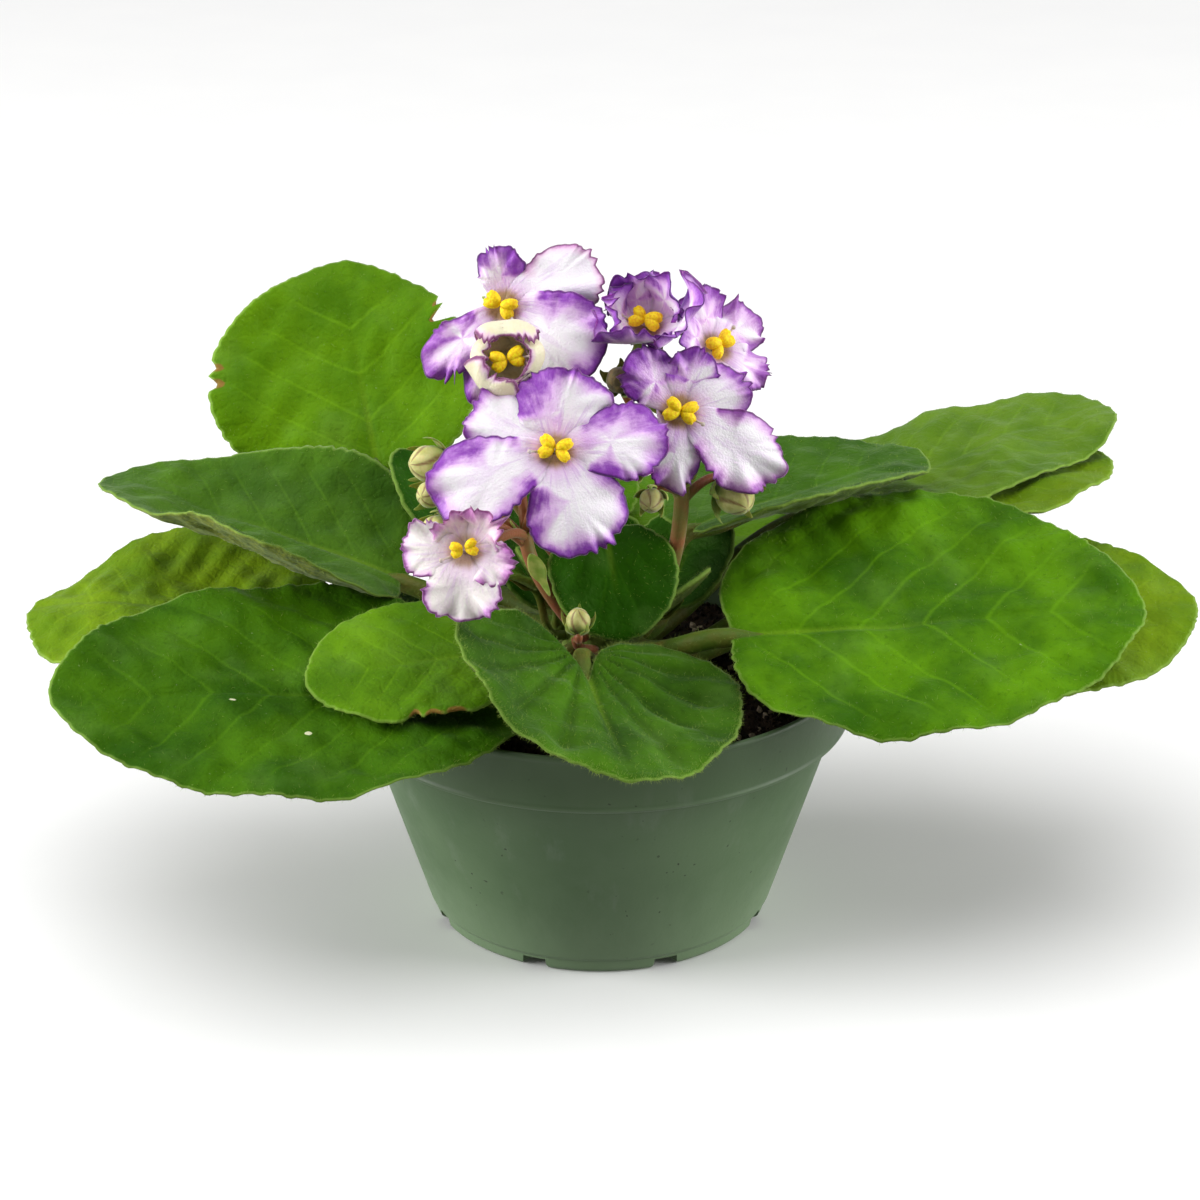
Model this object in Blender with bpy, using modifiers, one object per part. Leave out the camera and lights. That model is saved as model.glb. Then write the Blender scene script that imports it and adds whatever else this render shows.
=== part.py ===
"""Potted African violet: a rosette of fleshy leaves and five-lobed flowers in a plastic nursery pot.

Metres, +Z up. The origin is the centre of the pot's flat underside, and the front of the plant faces -Y.
Lengths in the tables below are in millimetres and angles in degrees.
"""

import math

import bmesh
import bpy
import numpy as np
from mathutils import Matrix, Vector

MM = 0.001
GAP = 0.3  # running clearance between touching pieces

# Pot: a thin-walled nursery pot with a stepped rim band
POT_HEIGHT = 58.0
RIM_RADIUS = 54.0
BAND_HEIGHT = 12.5
BAND_FOOT_RADIUS = 53.5
BODY_TOP_RADIUS = 50.5
BASE_RADIUS = 36.0
FOOT_HEIGHT = 3.4
POT_WALL = 1.4
FLOOR_THICKNESS = 1.6
DRAIN_HOLES = 8
DRAIN_RADIUS = 3.2
DRAIN_CIRCLE = 34.2  # so that each hole also breaks out through the corner
DRAIN_DEPTH = 5.0
ROUND_STEPS = 36

# Soil and crown
SOIL_EDGE_HEIGHT = 50.0
SOIL_CENTRE_HEIGHT = 51.5
CROWN_PROFILE = ((6.5, 43.0), (7.6, 47.0), (8.2, 52.0), (8.0, 60.0), (6.8, 64.5), (4.0, 67.2))
CROWN_TOP = 68.2

BLADE_THICKNESS = 1.7
BLADE_SEGMENTS = 24
BLADE_RINGS = 8
PETIOLE_POINTS = 7
PETIOLE_ROUNDNESS = 2  # bevel_resolution: eight sides
PEDICEL_ROUNDNESS = 1  # six sides
TIP_RISE = 0.04  # how far the blade's tip stands out of its oval, as a share
TIP_SPREAD = 0.25  # how wide that tip is, in radians
PETIOLE_HANDLE = 0.35  # length of the petiole curve's handles, as a share of its reach
PETIOLE_SINK = 0.55  # how far its end lies below the blade, in petiole radii
PETIOLE_TAPER = 0.8
RIB_LENGTH = 0.30  # share of the blade that the thick end of the midrib runs under
RIB_STEPS = (0.35, 0.7, 1.0)
RIB_RADII = (0.68, 0.5, 0.3)  # of the petiole's radius, at each step
RIB_RISE = 0.35  # how far the rib climbs into the blade by its end, in petiole radii

# Every leaf. joint is where the petiole meets the blade; heading is the midrib's direction in plan, from +X
# towards +Y; pitch is its rise; roll turns the blade about it. start is the petiole's azimuth and height on
# the crown. cup lifts the sides, bend droops the tip, notch is the depth of the sinus at the petiole.
LEAVES = {
    "leaf_back_left": dict(
        joint=(-49, 40, 84.5), heading=108, pitch=50, roll=-20, length=55, width=59, bend=8, cup=0.12,
        square=2.0, side=0.12, ovate=0.09, twist=16, notch=0.15, spread=0.22, start=(132, 61), stalk=2.5),
    "leaf_left_cupped": dict(
        joint=(-42, 8, 72), heading=163, pitch=13, roll=-9, length=75, width=49, bend=0, cup=0.54,
        square=1.9, side=0.08, ovate=0.23, twist=9, notch=0.15, spread=0.22, start=(165, 62.5), stalk=2.6),
    "leaf_far_left": dict(
        joint=(-64, 4, 63.6), heading=165, pitch=4, roll=-8, length=67, width=58, bend=18, cup=0.115,
        square=1.9, side=0.0, ovate=0.08, twist=-7, notch=0.15, spread=0.22, start=(182, 57), stalk=2.4),
    "leaf_front_left_large": dict(
        joint=(-19, -29, 64), heading=192, pitch=0, roll=-8, length=97, width=70, bend=-8, cup=0.05,
        square=1.9, side=-0.02, ovate=0.08, twist=-16, notch=0.12, spread=0.22, start=(220, 55), stalk=2.7),
    "leaf_front_left_small": dict(
        joint=(-19, -27, 69.5), heading=197, pitch=2, roll=-10, length=44, width=39, bend=8, cup=0.05,
        square=2.05, side=0.0, ovate=0.08, twist=-9, notch=0.12, spread=0.22, start=(232, 61.5), stalk=1.8),
    "leaf_front_centre": dict(
        joint=(-3, -31.5, 69.6), heading=281, pitch=-22, roll=-20, length=49, width=61, bend=-25, cup=0.22,
        square=2.3, side=-0.04, ovate=0.25, twist=8, notch=0.42, spread=0.30, start=(272, 57), stalk=2.2),
    "leaf_young_centre": dict(
        joint=(1, -3.5, 87), heading=283, pitch=-38, roll=2, length=26, width=27, bend=28, cup=0.14,
        square=2.1, side=0.0, ovate=0.10, twist=0, notch=0.15, spread=0.22, start=(292, 65), stalk=1.4),
    "leaf_right_large": dict(
        joint=(27, -22, 72), heading=3, pitch=-1, roll=20, length=90, width=75, bend=-11, cup=0.02,
        square=1.85, side=0.14, ovate=0.03, twist=0, notch=0.14, spread=0.30, start=(318, 61.5), stalk=2.7),
    "leaf_far_right": dict(
        joint=(51, 11, 65), heading=-2, pitch=2, roll=17, length=82, width=58, bend=5, cup=0.05,
        square=2.2, side=-0.14, ovate=0.08, twist=3, notch=0.15, spread=0.22, start=(350, 57), stalk=2.4),
    "leaf_right_cupped": dict(
        joint=(19.5, 11.5, 82.5), heading=24, pitch=8, roll=-10, length=60, width=46, bend=0, cup=0.29,
        square=2.15, side=0.0, ovate=0.12, twist=10, notch=0.15, spread=0.22, start=(20, 61.5), stalk=2.3),
    "leaf_back_right_upper": dict(
        joint=(44, 33.5, 77), heading=25, pitch=10, roll=-7, length=84, width=49, bend=0, cup=0.06,
        square=2.4, side=-0.03, ovate=0.10, twist=12, notch=0.15, spread=0.22, start=(45, 57.5), stalk=2.5),
    "leaf_back_right_lower": dict(
        joint=(62, 31.5, 76.5), heading=20, pitch=11, roll=-6, length=58, width=44, bend=5, cup=0.05,
        square=2.1, side=-0.15, ovate=0.10, twist=0, notch=0.15, spread=0.22, start=(21, 54), stalk=2.1),
    "leaf_back_centre_left": dict(
        joint=(-12, 38, 70), heading=104, pitch=12, roll=0, length=58, width=50, bend=20, cup=0.12,
        square=2.1, side=0.0, ovate=0.12, twist=0, notch=0.18, spread=0.24, start=(108, 56), stalk=2.3),
    "leaf_back_centre_right": dict(
        joint=(20, 42, 66), heading=68, pitch=6, roll=0, length=56, width=48, bend=18, cup=0.10,
        square=2.1, side=0.0, ovate=0.12, twist=0, notch=0.18, spread=0.24, start=(76, 54.5), stalk=2.3),
    "leaf_young_left": dict(
        joint=(-14, -4, 75), heading=208, pitch=40, roll=0, length=14, width=10, bend=30, cup=0.25,
        square=2.1, side=0.0, ovate=0.12, twist=0, notch=0.12, spread=0.22, start=(198, 63), stalk=1.0),
}

# Every flower. centre is its throat; heading and pitch give the direction it faces. A petal is (angle seen
# from the front, counterclockwise from the right; length; width; lift out of the flower's plane).
FLOWERS = {
    "flower_top_left": dict(
        centre=(-20, 10, 132), heading=255, pitch=25, stalk="flower_stalk_left",
        petals=((100, 13, 10, 30), (28, 22, 15, 0), (336, 24, 19, 5), (266, 23, 13, -8), (224, 22, 10, 0))),
    "flower_half_open": dict(
        centre=(-19, -7, 125.5), heading=272, pitch=24, stalk="flower_stalk_centre",
        petals=tuple((angle, 10, 10.5, 52) for angle in (90, 162, 234, 306, 18))),
    "flower_centre": dict(
        centre=(-9, -23, 112), heading=270, pitch=33, stalk="flower_stalk_centre",
        petals=((80, 17, 20, 18), (152, 20, 15, 0), (202, 27, 17, 0), (8, 23, 16, 5), (290, 22, 20, -8))),
    "flower_right": dict(
        centre=(16, -9, 115.5), heading=283, pitch=22, stalk="flower_stalk_right",
        petals=((125, 16, 12, 10), (65, 14, 11, 5), (15, 16, 14, 5), (322, 23, 16, -6), (262, 16, 11, -12))),
    "flower_back_left": dict(
        centre=(10, 8, 128.5), heading=245, pitch=50, stalk="flower_stalk_right",
        petals=((130, 13, 12, 50), (60, 14, 12, 52), (350, 13, 12, 45), (280, 12, 11, 50), (205, 13, 12, 45))),
    "flower_back_right": dict(
        centre=(24, 9, 123), heading=310, pitch=42, stalk="flower_stalk_right",
        petals=((85, 12, 10, 30), (20, 13, 11, 10), (310, 13, 11, 0), (240, 12, 11, 25), (155, 11, 10, 50))),
    "flower_low_left": dict(
        centre=(-26.5, -43, 98.4), heading=262, pitch=30, stalk="flower_stalk_centre",
        petals=((120, 9, 9, 30), (50, 11, 10, 30), (182, 13, 11, 0), (272, 14, 15, -8), (335, 11, 9, 10))),
}
COROLLA_SEGMENTS = 32
COROLLA_RINGS = 6
ANTHER_SIZE = (1.9, 2.1, 1.5)
ANTHER_SPACING = 3.4
ANTHER_SEAT = 0.5
THROAT = 4.5  # radius of the flat middle of a corolla
COROLLA_THICKNESS = 1.0
RECEPTACLE = 2.0
PEDICEL = 1.0
PEDICEL_STEP = 0.8  # each pedicel leaves its stalk this much below the one before
PEDICEL_START = 0.75  # its first radius, as a share of the stalk's
PEDICEL_POINTS = 6
PEDICEL_CLIMB = 0.6  # how much steeper than a straight line it sets off
PEDICEL_HANDLES = (0.25, 0.3)  # of its reach
STALK_POINTS = 7
STALK_HANDLES = (0.2, 0.35)  # of its rise

# The stalks rise from the crown and fork where their pedicels leave them.
STALKS = {
    "flower_stalk_left": dict(start=(110, 65.5), fork=(-22, 8, 103), radius=1.5),
    "flower_stalk_centre": dict(start=(244, 65), fork=(-15.5, -12, 91), radius=1.5),
    "flower_stalk_right": dict(start=(358, 65.5), fork=(17, -6, 99), radius=1.6),
    "flower_stalk_low": dict(start=(262, 62), fork=(-5, -15, 67.5), radius=1.0),
}

# Unopened buds: centre, the way each points, length and width.
BUDS = {
    "bud_left_upper": dict(
        centre=(-35, -14, 106), heading=215, pitch=10, length=9, width=7.5, stalk="flower_stalk_left"),
    "bud_left_middle": dict(
        centre=(-34.5, -20, 101.5), heading=240, pitch=10, length=7, width=5.5, stalk="flower_stalk_centre"),
    "bud_left_lower": dict(
        centre=(-33, -27, 96.5), heading=230, pitch=0, length=7, width=6, stalk="flower_stalk_centre"),
    "bud_right_lower": dict(
        centre=(10.5, -17, 99), heading=262, pitch=-10, length=6, width=5, stalk="flower_stalk_right"),
    "bud_right_middle": dict(
        centre=(6.5, -13, 105), heading=250, pitch=10, length=6, width=5, stalk="flower_stalk_right"),
    "bud_right_back": dict(
        centre=(28, -6, 96), heading=300, pitch=-15, length=10, width=8, stalk="flower_stalk_right"),
    "bud_top_centre": dict(
        centre=(4, -1, 119.5), heading=260, pitch=40, length=7, width=5.5, stalk="flower_stalk_right"),
    "bud_low_front": dict(
        centre=(-4.5, -22, 74.5), heading=265, pitch=75, length=6, width=5, stalk="flower_stalk_low"),
}


def clear_scene():
    for old in list(bpy.data.objects):
        bpy.data.objects.remove(old)


def new_collection(name, hidden=False):
    made = bpy.data.collections.new(name)
    made.hide_render = hidden
    bpy.context.scene.collection.children.link(made)
    return made


def material(name, colour, roughness, metallic=0.0):
    made = bpy.data.materials.new(name)
    made.use_nodes = True
    shader = made.node_tree.nodes["Principled BSDF"]
    shader.inputs["Base Color"].default_value = (*colour, 1.0)
    shader.inputs["Roughness"].default_value = roughness
    shader.inputs["Metallic"].default_value = metallic
    return made


def add_object(name, data, surface, collection):
    made = bpy.data.objects.new(name, data)
    data.materials.append(surface)
    collection.objects.link(made)
    return made


def shade(mesh, angle=40.0):
    mesh.shade_smooth()
    mesh.set_sharp_from_angle(angle=math.radians(angle))


# ---------------------------------------------------------------- turned pieces


def turned(name, profile, surface, collection, steps=ROUND_STEPS):
    """A piece turned about Z from (radius, height) points that start and end on the axis."""
    mesh = bpy.data.meshes.new(name)
    points = [(radius * MM, 0.0, height * MM) for radius, height in profile]
    edges = [(i, i + 1) for i in range(len(points) - 1)]
    mesh.from_pydata(points, edges, [])
    made = add_object(name, mesh, surface, collection)
    screw = made.modifiers.new("turn", "SCREW")
    screw.angle = math.tau
    screw.steps = steps
    screw.render_steps = steps
    screw.use_merge_vertices = True
    screw.merge_threshold = 0.00001
    screw.use_smooth_shade = True
    return made


def body_radius(height):
    """Outside radius of the pot's tapered body."""
    ledge = POT_HEIGHT - BAND_HEIGHT
    return BASE_RADIUS + (BODY_TOP_RADIUS - BASE_RADIUS) * height / ledge


def pot_profile():
    ledge = POT_HEIGHT - BAND_HEIGHT
    inside = [
        (0.0, FLOOR_THICKNESS),
        (body_radius(FLOOR_THICKNESS) - POT_WALL - 1.2, FLOOR_THICKNESS),
        (body_radius(FLOOR_THICKNESS + 1.2) - POT_WALL, FLOOR_THICKNESS + 1.2),
        (BODY_TOP_RADIUS - POT_WALL, ledge + POT_WALL),
        (BAND_FOOT_RADIUS - POT_WALL, ledge + POT_WALL + 0.4),
        (RIM_RADIUS - POT_WALL, POT_HEIGHT - 0.5),
    ]
    lip = [
        (RIM_RADIUS - POT_WALL + 0.4, POT_HEIGHT),
        (RIM_RADIUS - 0.4, POT_HEIGHT),
        (RIM_RADIUS, POT_HEIGHT - 0.5),
    ]
    outside = [
        (BAND_FOOT_RADIUS, ledge + 0.4),
        (BAND_FOOT_RADIUS - 0.5, ledge),
        (BODY_TOP_RADIUS, ledge - 0.3),
        (body_radius(FOOT_HEIGHT), FOOT_HEIGHT),
        (body_radius(FOOT_HEIGHT) - 0.6, FOOT_HEIGHT - 0.4),
        (BASE_RADIUS, 0.8),
        (BASE_RADIUS - 0.8, 0.0),
        (0.0, 0.0),
    ]
    return inside + lip + outside


def cut(target, cutter, name):
    boolean = target.modifiers.new(name, "BOOLEAN")
    boolean.operation = "DIFFERENCE"
    boolean.object = cutter


def make_pot(surface, collection, cutters):
    pot = turned("pot", pot_profile(), surface, collection)
    mesh = bpy.data.meshes.new("drain_cutters")
    ring = bmesh.new()
    for number in range(DRAIN_HOLES):
        azimuth = math.tau * (number + 0.5) / DRAIN_HOLES
        place = Matrix.Translation(
            Vector((math.cos(azimuth), math.sin(azimuth), 0.0)) * DRAIN_CIRCLE * MM
        )
        bmesh.ops.create_cone(
            ring, cap_ends=True, segments=8, radius1=DRAIN_RADIUS * MM, radius2=DRAIN_RADIUS * MM,
            depth=DRAIN_DEPTH * MM, matrix=place)
    ring.to_mesh(mesh)
    ring.free()
    holes = bpy.data.objects.new("drain_cutters", mesh)
    holes.hide_render = True
    holes.display_type = "WIRE"
    cutters.objects.link(holes)
    cut(pot, holes, "drain_holes")
    return pot


def soil_profile():
    """The mix fills the pot to the ledge and a little above, with a pocket for the crown's foot."""
    ledge = POT_HEIGHT - BAND_HEIGHT
    foot_radius, foot_height = CROWN_PROFILE[0]
    pocket = [
        (0.0, foot_height - GAP),
        (foot_radius + GAP, foot_height - GAP),
        (crown_radius(SOIL_CENTRE_HEIGHT - 4) + GAP, SOIL_CENTRE_HEIGHT - 4),
        (crown_radius(SOIL_CENTRE_HEIGHT) + GAP, SOIL_CENTRE_HEIGHT - 0.3),
    ]
    top = [(14.0, SOIL_CENTRE_HEIGHT), (36.0, SOIL_EDGE_HEIGHT + 0.8)]
    side = [
        (BAND_FOOT_RADIUS - POT_WALL - GAP, SOIL_EDGE_HEIGHT),
        (BAND_FOOT_RADIUS - POT_WALL - GAP, ledge + POT_WALL + 0.4 + GAP),
        (BODY_TOP_RADIUS - POT_WALL - GAP, ledge + POT_WALL + GAP),
        (body_radius(FLOOR_THICKNESS + 1.2) - POT_WALL - GAP, FLOOR_THICKNESS + 1.4),
        (body_radius(FLOOR_THICKNESS) - POT_WALL - 1.4, FLOOR_THICKNESS + GAP),
        (0.0, FLOOR_THICKNESS + GAP),
    ]
    return pocket + top + side


def crown_radius(height):
    radii = [radius for radius, _ in CROWN_PROFILE]
    heights = [level for _, level in CROWN_PROFILE]
    return float(np.interp(height, heights, radii))


def seat_radius(height, stalk):
    """Where a flat stalk end of this radius clears the crown by the running gap."""
    return max(crown_radius(height + side * stalk) for side in (-1, 0, 1)) + GAP


def crown_profile():
    rising = list(CROWN_PROFILE)
    return [(0.0, CROWN_TOP)] + rising[::-1] + [(0.0, CROWN_PROFILE[0][1])]


# ---------------------------------------------------------------- leaves


def leaf_frame(leaf):
    """Unit vectors along the midrib, across it to its left, and out of the upper surface."""
    heading, pitch, roll = (math.radians(leaf[key]) for key in ("heading", "pitch", "roll"))
    along = np.array([
        math.cos(heading) * math.cos(pitch), math.sin(heading) * math.cos(pitch), math.sin(pitch)])
    left = np.array([-math.sin(heading), math.cos(heading), 0.0])
    up = np.cross(along, left)
    across = left * math.cos(roll) + up * math.sin(roll)
    return along, across, np.cross(along, across)


def margin_radius(leaf, angle):
    """Distance from the blade's centre to its margin; angle 0 is the tip, pi the sinus at the petiole."""
    c, s = np.cos(angle), np.sin(angle)
    half_length = leaf["length"] / 2
    half_width = leaf["width"] / 2 * (1 - leaf["ovate"] * c) * (1 + leaf["side"] * np.sign(s))
    power = leaf["square"]
    radius = (np.abs(c / half_length) ** power + np.abs(s / half_width) ** power) ** (-1 / power)
    from_sinus = np.abs(np.arctan2(np.sin(angle - np.pi), np.cos(angle - np.pi)))
    radius = radius * (1 - leaf["notch"] * np.exp(-((from_sinus / leaf["spread"]) ** 2)))
    return radius * (1 + TIP_RISE * np.exp(-((np.arctan2(s, c) / TIP_SPREAD) ** 2)))


def blade_point(leaf, share, angle):
    """A point of the blade's middle surface; share runs from 0 at its centre to 1 at its margin."""
    radius = share * margin_radius(leaf, angle)
    centre = leaf["length"] / 2 * (1 - leaf["notch"])
    a = radius * np.cos(angle) + centre
    b = radius * np.sin(angle)
    curvature = math.radians(leaf["bend"]) / leaf["length"] or 1e-9
    turn = curvature * a
    lift = leaf["cup"] * b * b / (leaf["width"] / 2)
    twist = math.radians(leaf["twist"]) * a / leaf["length"]
    x = np.sin(turn) / curvature + lift * np.sin(turn)
    z = -(1 - np.cos(turn)) / curvature + lift * np.cos(turn) + b * np.sin(twist)
    y = b * np.cos(twist)
    along, across, up = leaf_frame(leaf)
    placed = x[..., None] * along + y[..., None] * across + z[..., None] * up
    return np.array(leaf["joint"]) + placed


def blade_mesh(name, leaf):
    """The blade: a sphere flattened to a lens and drawn out to the leaf's outline."""
    sphere = bmesh.new()
    bmesh.ops.create_uvsphere(sphere, u_segments=BLADE_SEGMENTS, v_segments=BLADE_RINGS, radius=1.0)
    co = np.array([vertex.co[:] for vertex in sphere.verts])
    share = np.minimum(np.hypot(co[:, 0], co[:, 1]), 1.0)
    angle = np.arctan2(co[:, 1], co[:, 0])
    step = 0.01
    middle = blade_point(leaf, share, angle)
    radial = blade_point(leaf, share + step, angle) - middle
    around = blade_point(leaf, share + step, angle + 0.05) - blade_point(leaf, share + step, angle)
    normal = np.cross(radial, around)
    normal /= np.linalg.norm(normal, axis=1)[:, None]
    placed = (middle + normal * co[:, 2:3] * BLADE_THICKNESS / 2) * MM
    for vertex, where in zip(sphere.verts, placed):
        vertex.co = where
    mesh = bpy.data.meshes.new(name)
    sphere.to_mesh(mesh)
    sphere.free()
    return mesh


def bezier(points, count):
    """count points along the cubic through four control points."""
    t = np.linspace(0.0, 1.0, count)[:, None]
    a, b, c, d = (np.array(point, float) for point in points)
    return (1 - t) ** 3 * a + 3 * (1 - t) ** 2 * t * b + 3 * (1 - t) * t**2 * c + t**3 * d


def petiole_path(leaf):
    """Points and radii from the crown to the blade, then along its underside as the end of the midrib."""
    azimuth, height = math.radians(leaf["start"][0]), leaf["start"][1]
    outward = np.array([math.cos(azimuth), math.sin(azimuth), 0.0])
    stalk = leaf["stalk"]
    foot = outward * seat_radius(height, stalk) + np.array([0.0, 0.0, height])
    along, _, up = leaf_frame(leaf)
    joint = np.array(leaf["joint"]) - up * stalk * PETIOLE_SINK
    reach = np.linalg.norm(joint - foot)
    root = foot + outward
    handle = reach * PETIOLE_HANDLE
    path = bezier((root, root + outward * handle, joint - along * handle, joint), PETIOLE_POINTS)
    path = np.vstack([foot, path])
    radii = np.linspace(stalk, stalk * PETIOLE_TAPER, len(path))
    rib = []
    for share in RIB_STEPS:
        a = leaf["length"] * RIB_LENGTH * share
        centre = leaf["length"] / 2 * (1 - leaf["notch"])
        side = np.pi if a < centre else 0.0
        reached = abs(a - centre) / margin_radius(leaf, side)
        sink = stalk * (PETIOLE_SINK - RIB_RISE * share)
        rib.append(blade_point(leaf, np.array(reached), np.array(side)) - up * sink)
    path = np.vstack([path, rib])
    radii = np.concatenate([radii, stalk * np.array(RIB_RADII)])
    return path, radii


def tube_curve(name, path, radii, roundness):
    curve = bpy.data.curves.new(name, "CURVE")
    curve.dimensions = "3D"
    curve.bevel_depth = MM
    curve.bevel_resolution = roundness
    curve.use_fill_caps = True
    spline = curve.splines.new("POLY")
    spline.points.add(len(path) - 1)
    for point, where, radius in zip(spline.points, path, radii):
        point.co = (*(where * MM), 1.0)
        point.radius = radius
    return curve


def as_mesh(name, curve, surface, collection):
    """A curve made a mesh object, with its caps welded to its sides."""
    helper = bpy.data.objects.new(name + "_curve", curve)
    collection.objects.link(helper)
    graph = bpy.context.evaluated_depsgraph_get()
    mesh = bpy.data.meshes.new_from_object(helper.evaluated_get(graph))
    bpy.data.objects.remove(helper)
    solid = bmesh.new()
    solid.from_mesh(mesh)
    bmesh.ops.remove_doubles(solid, verts=solid.verts, dist=0.00001)
    bmesh.ops.recalc_face_normals(solid, faces=solid.faces)
    solid.to_mesh(mesh)
    solid.free()
    mesh.name = name
    mesh.materials.clear()
    return add_object(name, mesh, surface, collection)


def join(target, pieces):
    """Unites the pieces with target and leaves one plain mesh."""
    for number, piece in enumerate(pieces):
        boolean = target.modifiers.new(f"union_{number}", "BOOLEAN")
        boolean.operation = "UNION"
        boolean.object = piece
    graph = bpy.context.evaluated_depsgraph_get()
    mesh = bpy.data.meshes.new_from_object(target.evaluated_get(graph))
    target.modifiers.clear()
    target.data = mesh
    for piece in pieces:
        bpy.data.objects.remove(piece)
    return target


def make_leaf(name, leaf, surface, collection):
    blade = add_object(name, blade_mesh(name, leaf), surface, collection)
    path, radii = petiole_path(leaf)
    stalk = as_mesh(name + "_petiole", tube_curve(name, path, radii, PETIOLE_ROUNDNESS), surface, collection)
    made = join(blade, [stalk])
    shade(made.data, 50.0)
    return made


# ---------------------------------------------------------------- flowers


def direction(heading, pitch):
    h, p = math.radians(heading), math.radians(pitch)
    return np.array([math.cos(h) * math.cos(p), math.sin(h) * math.cos(p), math.sin(p)])


def facing_frame(piece):
    """Unit vectors to the right, upwards and out, as seen by someone facing the flower or bud."""
    out = direction(piece["heading"], piece["pitch"])
    right = np.cross([0.0, 0.0, 1.0], out)
    right /= np.linalg.norm(right)
    return right, np.cross(out, right), out


def petal_reach(petal, angle):
    """How far an oval petal that starts at the throat's centre reaches in the direction of angle."""
    axis, length, width, _ = petal
    off = np.radians(axis) - angle
    c, s = np.cos(off), np.sin(off)
    reach = (4 * c / length) / ((2 * c / length) ** 2 + (2 * s / width) ** 2)
    return np.where(c > 0, reach, 0.0)


def corolla_mesh(name, flower):
    """Five joined petals: a sphere flattened to a lens and drawn out to the lobes."""
    sphere = bmesh.new()
    bmesh.ops.create_uvsphere(sphere, u_segments=COROLLA_SEGMENTS, v_segments=COROLLA_RINGS, radius=1.0)
    co = np.array([vertex.co[:] for vertex in sphere.verts])
    share = np.minimum(np.hypot(co[:, 0], co[:, 1]), 1.0)
    angle = np.arctan2(co[:, 1], co[:, 0])
    reaches = np.array([petal_reach(petal, angle) for petal in flower["petals"]])
    weights = reaches**4 + 1e-6
    slope = np.array([math.tan(math.radians(petal[3])) for petal in flower["petals"]])
    slope = (weights * slope[:, None]).sum(axis=0) / weights.sum(axis=0)
    lean = 1 / np.sqrt(1 + slope**2)
    radius = share * np.maximum(reaches.max(axis=0), THROAT)
    beyond = np.maximum(radius - THROAT, 0.0)
    flat = np.minimum(radius, THROAT) + beyond * lean
    height = beyond * lean * slope + co[:, 2] * COROLLA_THICKNESS / 2
    right, up, out = facing_frame(flower)
    placed = (
        np.array(flower["centre"])
        + (flat * np.cos(angle))[:, None] * right
        + (flat * np.sin(angle))[:, None] * up
        + height[:, None] * out
    )
    for vertex, where in zip(sphere.verts, placed * MM):
        vertex.co = where
    mesh = bpy.data.meshes.new(name)
    sphere.to_mesh(mesh)
    sphere.free()
    return mesh


def ball(name, centre, axes, sizes, surface, collection, segments, rings):
    """An ellipsoid with its half-sizes along three given axes."""
    sphere = bmesh.new()
    bmesh.ops.create_uvsphere(sphere, u_segments=segments, v_segments=rings, radius=1.0)
    for vertex in sphere.verts:
        offset = sum(c * size * axis for c, size, axis in zip(vertex.co, sizes, axes))
        vertex.co = (np.array(centre) + offset) * MM
    mesh = bpy.data.meshes.new(name)
    sphere.to_mesh(mesh)
    sphere.free()
    return add_object(name, mesh, surface, collection)


def make_anthers(name, flower, surface, collection):
    """The pair of pollen sacs in the throat, fused at their tips."""
    axes = facing_frame(flower)
    right, _, out = axes
    centre = np.array(flower["centre"]) + out * (COROLLA_THICKNESS / 2 + ANTHER_SEAT + ANTHER_SIZE[2])
    sacs = []
    for number, side in enumerate((-1, 1)):
        sac = centre + right * side * ANTHER_SPACING / 2
        sacs.append(ball(f"{name}_{number}", sac, axes, ANTHER_SIZE, surface, collection, 8, 6))
    made = join(sacs[0], sacs[1:])
    made.name = name
    shade(made.data)
    return made


def make_bud(name, bud, surface, collection):
    axes = facing_frame(bud)
    half = bud["width"] / 2
    made = ball(name, bud["centre"], axes, (half, half, bud["length"] / 2), surface, collection, 10, 6)
    shade(made.data)
    return made


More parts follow.
